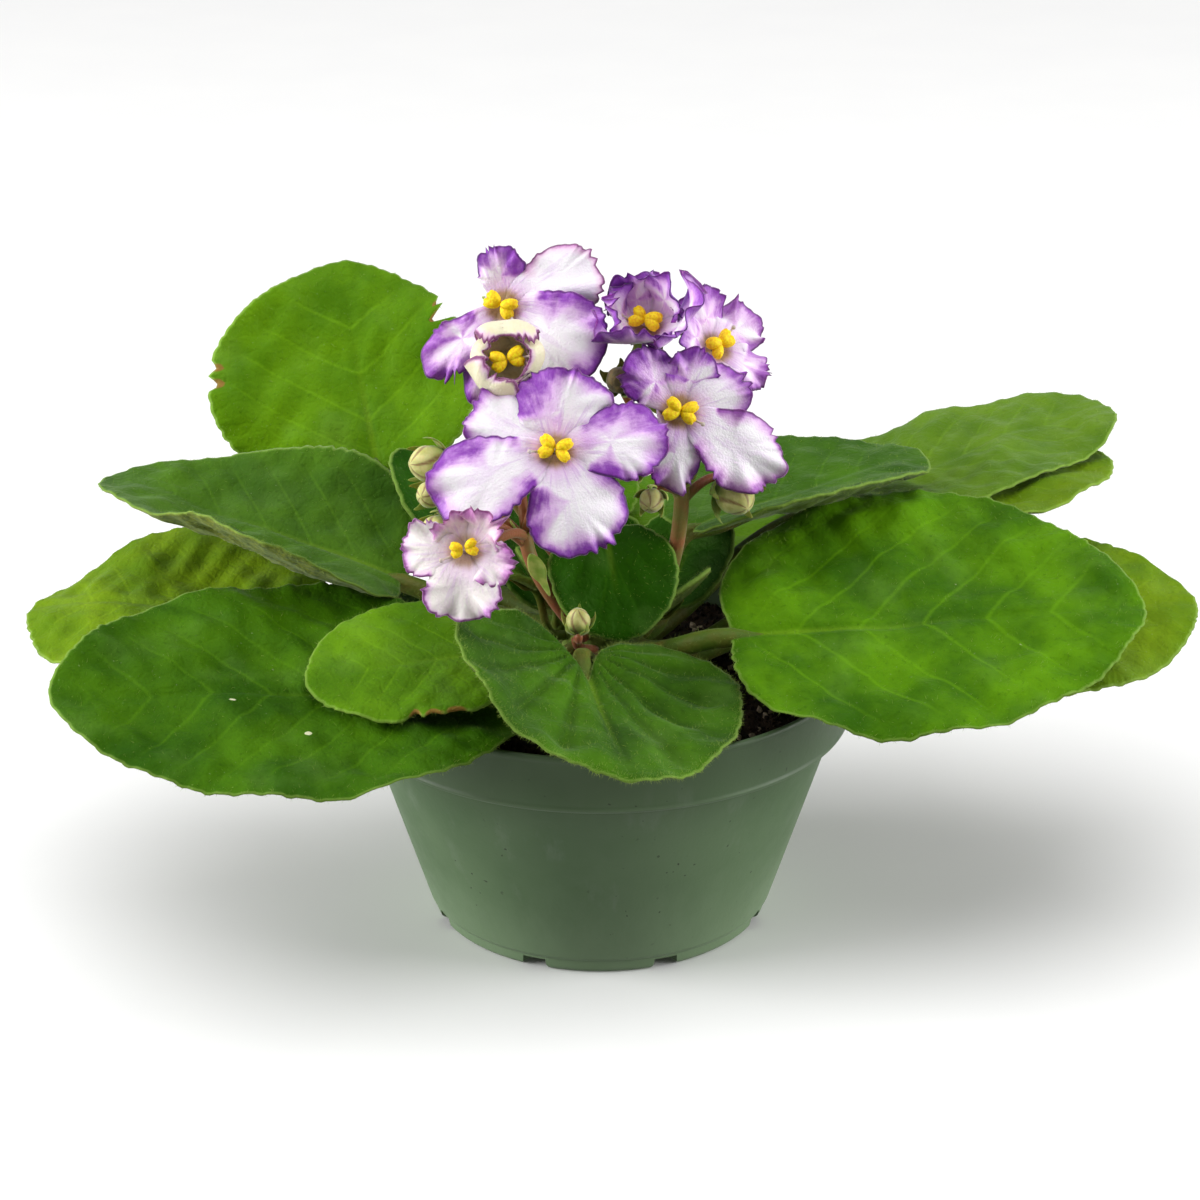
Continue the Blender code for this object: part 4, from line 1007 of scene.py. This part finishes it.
# Unopened buds: centre, the way each points, length and width. wilt is 1 for a brown, dried one.
BUDS = {
    "bud_left_upper": dict(
        centre=(-35, -14, 106), heading=215, pitch=10, length=9, width=7.5, stalk="flower_stalk_left"),
    "bud_left_middle": dict(
        centre=(-34.5, -20, 101.5), heading=240, pitch=10, length=7, width=5.5, stalk="flower_stalk_centre"),
    "bud_left_lower": dict(
        centre=(-33, -27, 96.5), heading=230, pitch=0, length=7, width=6, stalk="flower_stalk_centre"),
    "bud_right_lower": dict(
        centre=(10.5, -17, 99), heading=262, pitch=-10, length=6, width=5, stalk="flower_stalk_right",
        wilt=0.35),
    "bud_right_middle": dict(
        centre=(6.5, -13, 105), heading=250, pitch=10, length=6, width=5, stalk="flower_stalk_right",
        wilt=0.6),
    "bud_right_back": dict(
        centre=(28, -6, 96), heading=300, pitch=-15, length=10, width=8, stalk="flower_stalk_right"),
    "bud_top_centre": dict(
        centre=(4, -1, 119.5), heading=260, pitch=40, length=7, width=5.5, stalk="flower_stalk_right",
        wilt=0.9),
    "bud_low_front": dict(
        centre=(-4.5, -22, 74.5), heading=265, pitch=75, length=6, width=5, stalk="flower_stalk_low"),
}
COROLLA_THICKNESS = 1.0
RECEPTACLE = 2.0
PEDICEL = 1.0
PEDICEL_STEP = 0.8
SEPAL_LENGTH = 6.0
SEPAL_WIDTH = 2.1
STEM_DOWN = 2.0  # the stems' hairs stand this many times closer than the leaves'
STEM_HAIR_LENGTH = 0.8
STEM_HAIR_LEAST = 0.5
STEM_HAIR_LEAN = 0.6


def copper_green():
    """Soft green stems with a copper flush in long patches."""
    finish = Finish(
        "stem_copper_green", Specular_IOR_Level=0.35, Sheen_Weight=0.3, Sheen_Tint=tint(230, 220, 200),
        Subsurface_Weight=0.1, Subsurface_Scale=0.002)
    flush = finish.ease(finish.noise(11, detail=3), 0.30, 0.52)
    downy = finish.noise(0.6, detail=3)
    colour = finish.mix(flush, tint(116, 112, 44), tint(152, 88, 54))
    return finish.dress(colour, finish.between(downy, 0.4, 0.6), downy, 0.15)


def light_green():
    """Young sepals and bracts, mottled yellow-green."""
    finish = Finish(
        "sepal_green", Specular_IOR_Level=0.35, Sheen_Weight=0.35, Sheen_Tint=tint(225, 230, 205),
        Subsurface_Weight=0.1, Subsurface_Scale=0.002)
    mottle = finish.noise(2.2, detail=4)
    colour = finish.mix(finish.ease(mottle, 0.35, 0.7), tint(112, 142, 38), tint(156, 166, 76))
    return finish.dress(colour, finish.between(mottle, 0.45, 0.65), mottle, 0.2)


stem_copper_green = copper_green()
sepal_green = light_green()


def direction(heading, pitch):
    h, p = math.radians(heading), math.radians(pitch)
    return np.array([math.cos(h) * math.cos(p), math.sin(h) * math.cos(p), math.sin(p)])


def facing_frame(piece):
    """Unit vectors to the right, upwards and out, as seen by someone facing the flower or bud."""
    out = direction(piece["heading"], piece["pitch"])
    right = np.cross([0.0, 0.0, 1.0], out)
    right /= np.linalg.norm(right)
    return right, np.cross(out, right), out


def ball(centre, axes, sizes, around, rows, part=0, shape=None, **values):
    """An ellipsoid with its half-sizes along three axes; shape scales it by azimuth and polar angle."""
    polar = (np.arange(rows) + 1)[:, None] / (rows + 1) * np.pi
    turn = np.arange(around)[None, :] / around * FULL_TURN
    scale = 1.0 if shape is None else shape(turn, polar)
    u = np.sin(polar) * np.cos(turn) * scale
    v = np.sin(polar) * np.sin(turn) * scale
    w = np.cos(polar) + 0.0 * turn
    rings = (np.array(centre) + (u * sizes[0])[..., None] * axes[0] + (v * sizes[1])[..., None] * axes[1]
             + (w * sizes[2])[..., None] * axes[2])
    top, bottom = np.array(centre) + axes[2] * sizes[2], np.array(centre) - axes[2] * sizes[2]
    return shell(rings, top, bottom, part, **values)


def blade_of(outline, thickness, step, rows, surface, part=0, **values):
    """A thin closed petal, sepal or bract. outline gives its reach from its middle by angle, and surface
    turns flat points and a height above them into points of the plant."""
    turn, rounds, _ = even_turns(outline, step)
    share = np.linspace(0.0, 1.0, rows + 1)[1:, None] * np.ones_like(turn)
    share = 1.3 * share - 0.3 * share**3
    reach = outline(turn)
    a, b = share * reach * np.cos(turn), share * reach * np.sin(turn)
    body = thickness / 2 * np.sqrt(np.clip(1 - share**10, 0, 1))
    upper = surface(a, b, body, share, turn, rounds)
    lower = surface(a, b, -body, share, turn, rounds)
    rings = np.concatenate([upper, lower[-2::-1]])
    named = {}
    for key, value in values.items():
        value = np.broadcast_to(value(a, b, share, turn, rounds) if callable(value) else value, a.shape)
        named[key] = np.concatenate([value, value[-2::-1]])
    return shell(rings, upper[0].mean(axis=0), lower[0].mean(axis=0), part, **named)


def slip(root, along, out, length, width, curl, part=1):
    """A narrow pointed sepal or bract from root, curling towards out as it goes."""
    along, out = np.array(along, float), np.array(out, float)
    along /= np.linalg.norm(along)
    out = out - along * out.dot(along)
    out /= np.linalg.norm(out)
    across = np.cross(out, along)

    def outline(angle):
        c, s = np.cos(angle), np.sin(angle)
        half_width = width / 2 * (1 - 0.45 * c)
        return (np.abs(c / (length / 2)) ** 1.7 + np.abs(s / half_width) ** 1.7) ** (-1 / 1.7)

    def surface(a, b, rise, share, turn, rounds):
        run = a + length / 2
        bend = math.radians(curl) * run / length
        x = run * np.sinc(bend / np.pi)
        z = run * bend / 2 * np.sinc(bend / 2 / np.pi) ** 2 + rise + 0.5 * b * b / width
        return root + x[..., None] * along + b[..., None] * across + z[..., None] * out

    return blade_of(outline, 0.5, 0.45, 6, surface, part, fuzz=0.8)


def calyx(centre, axes, radius, length, width, curl, tilt, part=1):
    """Five sepals round a flower's back or a bud's foot."""
    right, up, out = axes
    made = []
    for number in range(5):
        turn = FULL_TURN * (number + 0.25) / 5
        away = math.cos(turn) * right + math.sin(turn) * up
        way = away * math.cos(tilt) + out * math.sin(tilt)
        facing = out * math.cos(tilt) - away * math.sin(tilt)
        made.append(slip(centre + away * radius, way, facing, length, width, curl, part))
    return made


for number, (name, stalk) in enumerate(STALKS.items()):
    azimuth, height = math.radians(stalk["start"][0]), stalk["start"][1]
    outward = np.array([math.cos(azimuth), math.sin(azimuth), 0.0])
    foot = outward * seat_radius(height, stalk["radius"]) + np.array([0.0, 0.0, height])
    fork = np.array(stalk["fork"], float)
    rise = np.linalg.norm(fork - foot)
    root = foot + outward
    path = bezier((root, root + (outward + [0, 0, 1.0]) * rise * 0.2, fork - [0, 0, rise * 0.35], fork), 30)
    path = np.vstack([foot, path])
    shells = [tube(path, np.full(len(path), stalk["radius"]), 16, fuzz=STEM_DOWN)]
    heads = [(flower, COROLLA_THICKNESS / 2 + STALK_GAP + RECEPTACLE) for flower in FLOWERS.values()]
    heads += [(bud, bud["length"] / 2 + STALK_GAP) for bud in BUDS.values()]
    heads = [(head, setback) for head, setback in heads if head["stalk"] == name]
    for place, (head, setback) in enumerate(heads):
        axes = facing_frame(head)
        out = axes[2]
        end = np.array(head["centre"]) - out * setback
        leave = fork - np.array([0.0, 0.0, 0.4 + PEDICEL_STEP * place])
        neck = end - out
        reach = np.linalg.norm(neck - leave)
        climb = (neck - leave) / reach + [0, 0, 0.6]
        path = bezier((leave, leave + climb * reach * 0.25, neck - out * reach * 0.3, neck), 22)
        path = np.vstack([path, end])
        radii = np.linspace(stalk["radius"] * 0.72, PEDICEL * 0.85, len(path))
        shells.append(tube(path, radii, 12, fuzz=STEM_DOWN))
        if "petals" in head:
            shells.append(ball(end, axes, (RECEPTACLE,) * 3, 20, 9, 1, fuzz=1.0))
            shells += calyx(end, axes, RECEPTACLE * 0.7, SEPAL_LENGTH, SEPAL_WIDTH, -8, -0.35)
    if name == "flower_stalk_centre":
        shells.append(slip(fork - [-1.0, 1.5, 5.0], (0.45, -0.25, -0.9), (0, -1.0, 0.3), 10.0, 3.0, 25))
    if number < 3:
        for side in (-1, 1):
            way = np.array([side * 0.8, -0.35, 0.55])
            shells.append(slip(fork - [0, 0, 1.5], way, (0, -0.3, 1.0), 5.5, 1.9, 35))
    piece = build(name + "_stem", shells, [stem_copper_green, sepal_green])
    coat = down_coat(name, piece, STEM_HAIR_LENGTH, STEM_HAIR_LEAST, STEM_HAIR_LEAN, 70 + number)
    hand_over(piece, "stem", name)
    hand_over(coat, "stem")

# ------------------------------------------------------------------------------------------ flowers
# Each flower is one corolla of five thin lobes, white with a ruffled violet border that runs inwards in
# streaks, around a small green-gold throat darkened with painted shade. It sits on its calyx by the throat.

THROAT = 4.5
THROAT_SLOPE = 24
THROAT_DEPTH = 1.9
PETAL_THICKNESS = 0.5
PETAL_STEP = 0.5
PETAL_LAYER = 0.35
PETAL_ROWS = 15
TOOTH_DEPTH = 0.48
LOBE_DEPTH = 0.20
WAVE_HEIGHT = 0.80
FRILL_HEIGHT = 0.60
CREASE_HEIGHT = 0.40


def violet_edged():
    """White petals with a violet border that feathers inwards, fine veins and a green-gold throat darkened
    with painted shade.
    """
    finish = Finish(
        "petal_violet_edged", Specular_IOR_Level=0.25, Sheen_Weight=0.25, Sheen_Roughness=0.5,
        Subsurface_Weight=0.30, Subsurface_Radius=(1.0, 0.7, 1.0), Subsurface_Scale=0.0015)
    rim, border, pink = finish.number("rim"), finish.number("border"), finish.number("pink")
    out, ray, lot = finish.number("out"), finish.number("ray"), finish.number("lot")
    cream = finish.number("cream")
    rays = finish.add("CombineXYZ", {0: finish.times(ray, 9.0), 1: finish.times(out, 0.10), 2: lot})
    streak = finish.add("TexNoise", {"Vector": rays, "Scale": 1.0, "Detail": 4.0, "Roughness": 0.6})
    blotch = finish.noise(3.0, detail=4, roughness=0.55)

    white = finish.mix(blotch, tint(255, 250, 255), tint(243, 229, 247))
    buff = finish.mix(blotch, tint(244, 236, 204), tint(228, 214, 164))
    colour = finish.over(white, buff, cream, 0.9)
    fading = finish.between(finish.ease(out, 15.0, 4.0), 0.3, 1.0)
    veins = finish.times(finish.ease(streak, 0.50, 0.64), fading)
    veins = finish.times(veins, finish.minus(1.0, cream))
    colour = finish.over(colour, tint(196, 142, 218), veins, 0.60)
    flush = finish.ease(finish.plus(out, finish.times(streak, 6.0)), 12.5, 5.5)
    flush = finish.times(flush, finish.minus(0.66, finish.times(cream, 0.66)))
    colour = finish.over(colour, tint(196, 138, 214), flush)

    ragged = finish.plus(finish.times(streak, 1.3), finish.times(blotch, 1.4))
    depth_in = finish.plus(finish.reckon("DIVIDE", rim, border), finish.minus(ragged, 1.35))
    lilac = finish.mix(pink, tint(216, 166, 230), tint(236, 200, 222))
    colour = finish.over(colour, lilac, finish.ease(depth_in, 2.0, 0.40))
    violet = finish.mix(blotch, tint(118, 34, 158), tint(158, 78, 194))
    violet = finish.mix(pink, violet, tint(190, 122, 178))
    colour = finish.over(colour, violet, finish.ease(depth_in, 0.95, 0.10))
    hem = finish.ease(finish.plus(rim, finish.times(blotch, 0.5)), 0.95, 0.45)
    colour = finish.over(colour, finish.mix(pink, tint(70, 10, 96), tint(122, 56, 104)), hem, 0.95)

    # The green-gold throat, darkened further as painted shade in the hollow round the pollen sacs.
    throat = finish.ease(finish.plus(out, finish.times(streak, 1.5)), 5.4, 3.4)
    throat = finish.times(throat, finish.minus(0.85, finish.times(cream, 0.55)))
    colour = finish.over(colour, tint(158, 126, 40), throat)
    sparkle = finish.plus(finish.noise(0.45, detail=2), finish.times(streak, 1.2))
    return finish.dress(colour, finish.between(blotch, 0.42, 0.6), sparkle, 0.14)


def petal_shell(flower, petal, layer, seed):
    """One lobe, from the throat's centre outwards, bent, ruffled and toothed."""
    angle_round, length, width, lift, border, side, pink = petal
    draw = np.random.default_rng(seed)
    right, up, out = facing_frame(flower)
    way = math.radians(angle_round)
    axis = math.cos(way) * right + math.sin(way) * up
    across = -math.sin(way) * right + math.cos(way) * up
    ruffle = flower["ruffle"] * draw.uniform(0.8, 1.2)
    seeds = draw.integers(0, 10**6, 8)
    crease, sway = draw.uniform(-1.0, 1.0, 2)

    def outline(angle):
        c, s = np.cos(angle), np.sin(angle)
        half_width = width / 2 * (1 + 0.30 * c)
        power = flower["tip"]
        return (np.abs(c / (length / 2)) ** power + np.abs(s / half_width) ** power) ** (-1 / power)

    run = np.linspace(0.0, length * 1.15, 90)
    beyond = np.clip((run - THROAT) / max(length - THROAT, 1.0), 0.0, 1.3)
    slope = np.radians(
        THROAT_SLOPE * np.clip(1 - run / THROAT, 0, 1) + lift * step_up(run, THROAT * 0.4, THROAT * 1.5)
        + flower["curl"] * beyond ** flower["roll"])
    gap = run[1] - run[0]
    lengthwise = np.concatenate([[0.0], np.cumsum(np.cos(slope[1:])) * gap])
    heightwise = np.concatenate([[0.0], np.cumsum(np.sin(slope[1:])) * gap])
    heightwise -= np.interp(THROAT, run, heightwise)

    def surface(a, b, rise, share, turn, rounds):
        frill = np.clip(0.45 + 0.85 * waves(rounds, 2, 6, seeds[5]), 0.1, 1.8)
        tooth = frill * TOOTH_DEPTH * waves(rounds, 20, 38, seeds[0])
        tooth = tooth + LOBE_DEPTH * waves(rounds, 6, 12, seeds[1])
        free = step_up(a + length / 2, THROAT * 0.8, length * 0.6)
        grow_out = 1 + tooth * step_up(share, 0.7, 1.0) * free / np.hypot(length, width) * 1.6
        a, b = a * grow_out, b * grow_out
        along = np.clip(a + length / 2, 0.0, None)
        wave = ruffle * free * (
            WAVE_HEIGHT * share**3 * waves(rounds, 3, 8, seeds[2])
            + FRILL_HEIGHT * frill * share**5 * waves(rounds, 12, 20, seeds[3]))
        wave = wave + CREASE_HEIGHT * crease * np.sin(b / width * 9 + sway * 3) * free
        wave = wave + b * b / width * (flower["fold"] + 0.25 * sway) * free
        off = rise + wave + PETAL_LAYER * layer * step_up(along, 1.0, 6.0)
        angle = np.interp(along, run, slope)
        x = np.interp(along, run, lengthwise) - off * np.sin(angle)
        z = np.interp(along, run, heightwise) + off * np.cos(angle)
        wrap = flower["wrap"] * b / np.maximum(x, 4.0)
        x, b = x * np.cos(wrap) - b * np.sin(wrap) / 2, b * np.cos(wrap / 2)
        return (np.array(flower["centre"]) + x[..., None] * axis + b[..., None] * across
                + z[..., None] * out)

    def near_rim(a, b, share, turn, rounds):
        inward = (1 - share) * outline(turn)
        return inward + 30.0 * (1 - step_up(a + length / 2, 1.0, 7.0))

    def border_width(a, b, share, turn, rounds):
        uneven = 1 + side * np.sin(turn) + 0.35 * waves(rounds, 2, 5, seeds[4])
        return border * np.clip(uneven, 0.25, 2.0)

    return blade_of(
        outline, PETAL_THICKNESS, PETAL_STEP, PETAL_ROWS, surface, 0, rim=near_rim, border=border_width,
        out=lambda a, b, share, turn, rounds: np.hypot(a + length / 2, b),
        ray=lambda a, b, share, turn, rounds: np.arctan2(b, a + length / 2 + 2.0),
        lot=seed * 3.7, cream=flower["cream"], pink=pink)


def throat_shell(flower):
    """The short funnel between the lobes."""
    axes = facing_frame(flower)
    radius = np.linspace(0.0, 1.0, 9)[1:, None] * THROAT
    turn = np.arange(40)[None, :] / 40 * FULL_TURN
    height = -THROAT_DEPTH * (1 - (radius / THROAT) ** 2) - 0.2
    both = []
    for side in (0.2, -0.2):
        x, y, z = radius * np.cos(turn), radius * np.sin(turn), height + side + 0 * turn
        both.append(np.array(flower["centre"]) + x[..., None] * axes[0] + y[..., None] * axes[1]
                    + z[..., None] * axes[2])
    rings = np.concatenate([both[0], both[1][::-1]])
    reach = np.concatenate([radius, radius[::-1]])
    return shell(rings, both[0][0].mean(axis=0), both[1][0].mean(axis=0), 0, rim=20.0, border=1.0, out=reach,
                 ray=turn, cream=flower["cream"])


petal_skin = violet_edged()
for number, (name, flower) in enumerate(FLOWERS.items()):
    shells = [throat_shell(flower)]
    for layer, petal in enumerate(flower["petals"]):
        shells.append(petal_shell(flower, petal, layer, 500 + 10 * number + layer))
    piece = build(name + "_corolla", shells, [petal_skin])
    hand_over(piece, "petal", name)

# ------------------------------------------------------------------------------------------ anthers
# Two pollen sacs side by side, each of two fat lobes that fan out from the middle, on short filaments in the
# throat, with the thin style leaning out beside them.

ANTHER_SIZE = (1.35, 2.1, 1.35)
ANTHER_REACH = 1.6
ANTHER_SEAT = 0.5
PAIR_GAP = 0.5
LOBE_FAN = 0.52
LOBE_RISE = 0.25
FILAMENT_RADIUS = 0.45
STYLE_RADII = (0.32, 0.24)
STYLE_STEPS = 12


def pollen_yellow():
    """Bright, slightly grainy pollen sacs."""
    finish = Finish(
        "anther_yellow", Specular_IOR_Level=0.3, Subsurface_Weight=0.15, Subsurface_Scale=0.001,
        Subsurface_Radius=(1.0, 0.6, 0.1))
    grain = finish.noise(0.5, detail=4)
    colour = finish.mix(finish.ease(grain, 0.3, 0.7), tint(236, 182, 2), tint(255, 230, 20))
    return finish.dress(colour, finish.between(grain, 0.45, 0.7), grain, 0.15)


def pale_style():
    """Filaments and style, lilac to yellow-green."""
    finish = Finish("style_pale", Roughness=0.4, Subsurface_Weight=0.1, Subsurface_Scale=0.001)
    return finish.dress(finish.mix(finish.noise(1.5), tint(206, 186, 214), tint(176, 170, 110)))


def creased(turn, polar):
    """A sac's waist and the seam where it splits to shed pollen."""
    return (1 - 0.22 * np.exp(-(((turn - np.pi / 2) / 0.35) ** 2))) * (1 + 0.06 * np.cos(2 * polar))


anther_yellow = pollen_yellow()
style_pale = pale_style()
for number, (name, flower) in enumerate(FLOWERS.items()):
    right, up, out = facing_frame(flower)
    draw = np.random.default_rng(900 + number)
    size = flower["sacs"]
    centre = np.array(flower["centre"]) + out * (
        COROLLA_THICKNESS / 2 + ANTHER_SEAT + ANTHER_SIZE[2] + flower["raised"])
    tilt = draw.uniform(-0.35, 0.35)
    right, up = right * math.cos(tilt) + up * math.sin(tilt), up * math.cos(tilt) - right * math.sin(tilt)
    root = centre - out * 3.0
    shells = []
    for side in (-1, 1):
        for lobe in (-1, 1):
            fan = math.pi / 2 * (1 - side) + side * lobe * LOBE_FAN + draw.uniform(-0.18, 0.18)
            tall = right * math.cos(fan) + up * math.sin(fan)
            wide = up * math.cos(fan) - right * math.sin(fan)
            rise = LOBE_RISE * lobe + draw.uniform(-0.2, 0.2)
            middle = centre + tall * ANTHER_REACH * size + right * side * PAIR_GAP + out * rise
            sizes = [one * size * draw.uniform(0.92, 1.08) for one in ANTHER_SIZE]
            shells.append(ball(middle, (wide, tall, out), sizes, 22, 13, 0, creased))
        filament = bezier((root, centre - out * 2.0 + right * side * 0.4,
                           centre - out * 1.2 + right * side * 1.2, centre + right * side * 1.5), 8)
        shells.append(tube(filament, np.full(len(filament), FILAMENT_RADIUS), 8, 1))
    lean = right * draw.choice([-1.0, 1.0]) + up * draw.uniform(-0.6, 0.2)
    style = bezier(
        (root, centre - out + lean * 2.0, centre + lean * 3.6, centre + lean * 4.8 + out), STYLE_STEPS)
    shells.append(tube(style, np.linspace(*STYLE_RADII, STYLE_STEPS), 8, 1))
    shells.append(ball(style[-1], (right, up, out), (0.5, 0.5, 0.4), 10, 5, 1))
    piece = build(name.replace("flower", "anthers") + "_pair", shells, [anther_yellow, style_pale])
    hand_over(piece, "pollen", name.replace("flower", "anthers"))

# --------------------------------------------------------------------------------------------- buds
# Unopened flowers: five cream lobes folded over each other into a blunt point, striped brown where they
# overlap, held by five downy green sepals.

BUD_SWIRL = 0.5
BUD_TIP = 1.06
BUD_HAIR_LENGTH = 0.7


def cream_bud():
    """Cream lobes, greener at the foot, brown along their seams and all over where wilted."""
    finish = Finish(
        "bud_cream", Specular_IOR_Level=0.3, Sheen_Weight=0.3, Subsurface_Weight=0.15, Subsurface_Scale=0.001)
    weave = finish.noise(1.6, detail=4)
    colour = finish.mix(finish.ease(weave, 0.3, 0.7), tint(212, 206, 138), tint(178, 178, 96))
    colour = finish.over(colour, tint(138, 156, 62), finish.ease(finish.number("tipward"), 0.55, -0.5))
    colour = finish.over(colour, tint(124, 84, 52), finish.ease(finish.number("seam"), 0.45, 0.9), 0.85)
    wilted = finish.mix(finish.ease(weave, 0.4, 0.65), tint(62, 44, 30), tint(128, 104, 62))
    colour = finish.over(colour, wilted, finish.number("wilt"))
    return finish.dress(colour, finish.between(weave, 0.45, 0.65), weave, 0.2)


def bud_shell(bud, axes):
    """The closed lobes: a blunt-pointed ball with five swirled folds. Gives back the foot's place as well."""
    centre, half, deep = np.array(bud["centre"]), bud["width"] / 2, bud["length"] / 2
    turn = np.arange(40)[None, :] / 40 * FULL_TURN
    polar = (np.arange(18) + 1)[:, None] / 19 * np.pi
    folded = np.abs(np.cos(2.5 * (turn + BUD_SWIRL * np.cos(polar))))
    scale = (0.93 + 0.09 * folded**0.5) * (1 - 0.16 * step_up(np.cos(polar), 0.2, 1.0))
    u, v = np.sin(polar) * np.cos(turn) * scale, np.sin(polar) * np.sin(turn) * scale
    w = np.cos(polar) + 0 * turn
    rings = (centre + (u * half)[..., None] * axes[0] + (v * half)[..., None] * axes[1]
             + (w * deep)[..., None] * axes[2])
    tip, foot = centre + axes[2] * deep * BUD_TIP, centre - axes[2] * deep
    return shell(rings, tip, foot, 0, seam=1 - folded, tipward=w, fuzz=0.8, wilt=bud.get("wilt", 0.0)), foot


bud_cream = cream_bud()
for number, (name, bud) in enumerate(BUDS.items()):
    axes = facing_frame(bud)
    half = bud["width"] / 2
    closed, foot = bud_shell(bud, axes)
    sepals = calyx(foot + axes[2] * 0.3, axes, half * 0.35, bud["length"] * 0.95, half * 0.75, 82, 0.30)
    piece = build(name + "_bloom", [closed, *sepals], [bud_cream, sepal_green])
    coat = down_coat(name, piece, BUD_HAIR_LENGTH, STEM_HAIR_LEAST, STEM_HAIR_LEAN, 80 + number)
    hand_over(piece, "bud", name)
    hand_over(coat, "bud")
bpy.data.objects.remove(hair_stamp)

# ---------------------------------------------------------------------------------- floor and light
# A plain pale floor, a wide soft light overhead, a little light from all round, and a panel at either side.

FLOOR_REACH = 4
SKY_STRENGTH = 0.24
OVERHEAD_STRENGTH = 2.1
OVERHEAD_SPREAD = math.radians(65)
OVERHEAD_TILT = (math.radians(5), math.radians(-8), 0.0)
# Each panel's place, the length of its side and its power in watts.
PANELS = {
    "panel_left": ((-0.95, -0.14, 0.30), 0.60, 11.5),
    "panel_right": ((0.95, -0.12, 0.30), 0.60, 9.5),
}

floor_mesh = bpy.data.meshes.new("floor")
floor_corners = [(x * FLOOR_REACH, y * FLOOR_REACH, 0) for x, y in ((-1, -1), (1, -1), (1, 1), (-1, 1))]
floor_mesh.from_pydata(floor_corners, [], [(0, 1, 2, 3)])
floor_finish = Finish("floor_paper", Roughness=0.9, Specular_IOR_Level=0.1)
paper = floor_finish.mix(floor_finish.noise(40), tint(238, 238, 238), tint(242, 242, 241))
floor_mesh.materials.append(floor_finish.dress(paper))
floor = put("floor", floor_mesh)
floor.visible_diffuse = False  # the leaves keep their shade: no light comes back up from the floor

world = bpy.data.worlds.new("studio")
world.use_nodes = True
world.node_tree.nodes["Background"].inputs["Color"].default_value = (1.0, 1.0, 1.0, 1.0)
world.node_tree.nodes["Background"].inputs["Strength"].default_value = SKY_STRENGTH
bpy.context.scene.world = world
bpy.context.scene.view_settings.view_transform = "Standard"

overhead_light = bpy.data.lights.new("overhead", "SUN")
overhead_light.energy = OVERHEAD_STRENGTH
overhead_light.angle = OVERHEAD_SPREAD
put("overhead", overhead_light).rotation_euler = OVERHEAD_TILT

for name, (place, width, power) in PANELS.items():
    panel_light = bpy.data.lights.new(name, "AREA")
    panel_light.size = width
    panel_light.energy = power
    panel = put(name, panel_light)
    panel.location = place
    panel.rotation_euler = (CAMERA_AIM - Vector(place)).to_track_quat("-Z", "Y").to_euler()

bpy.context.view_layer.update()
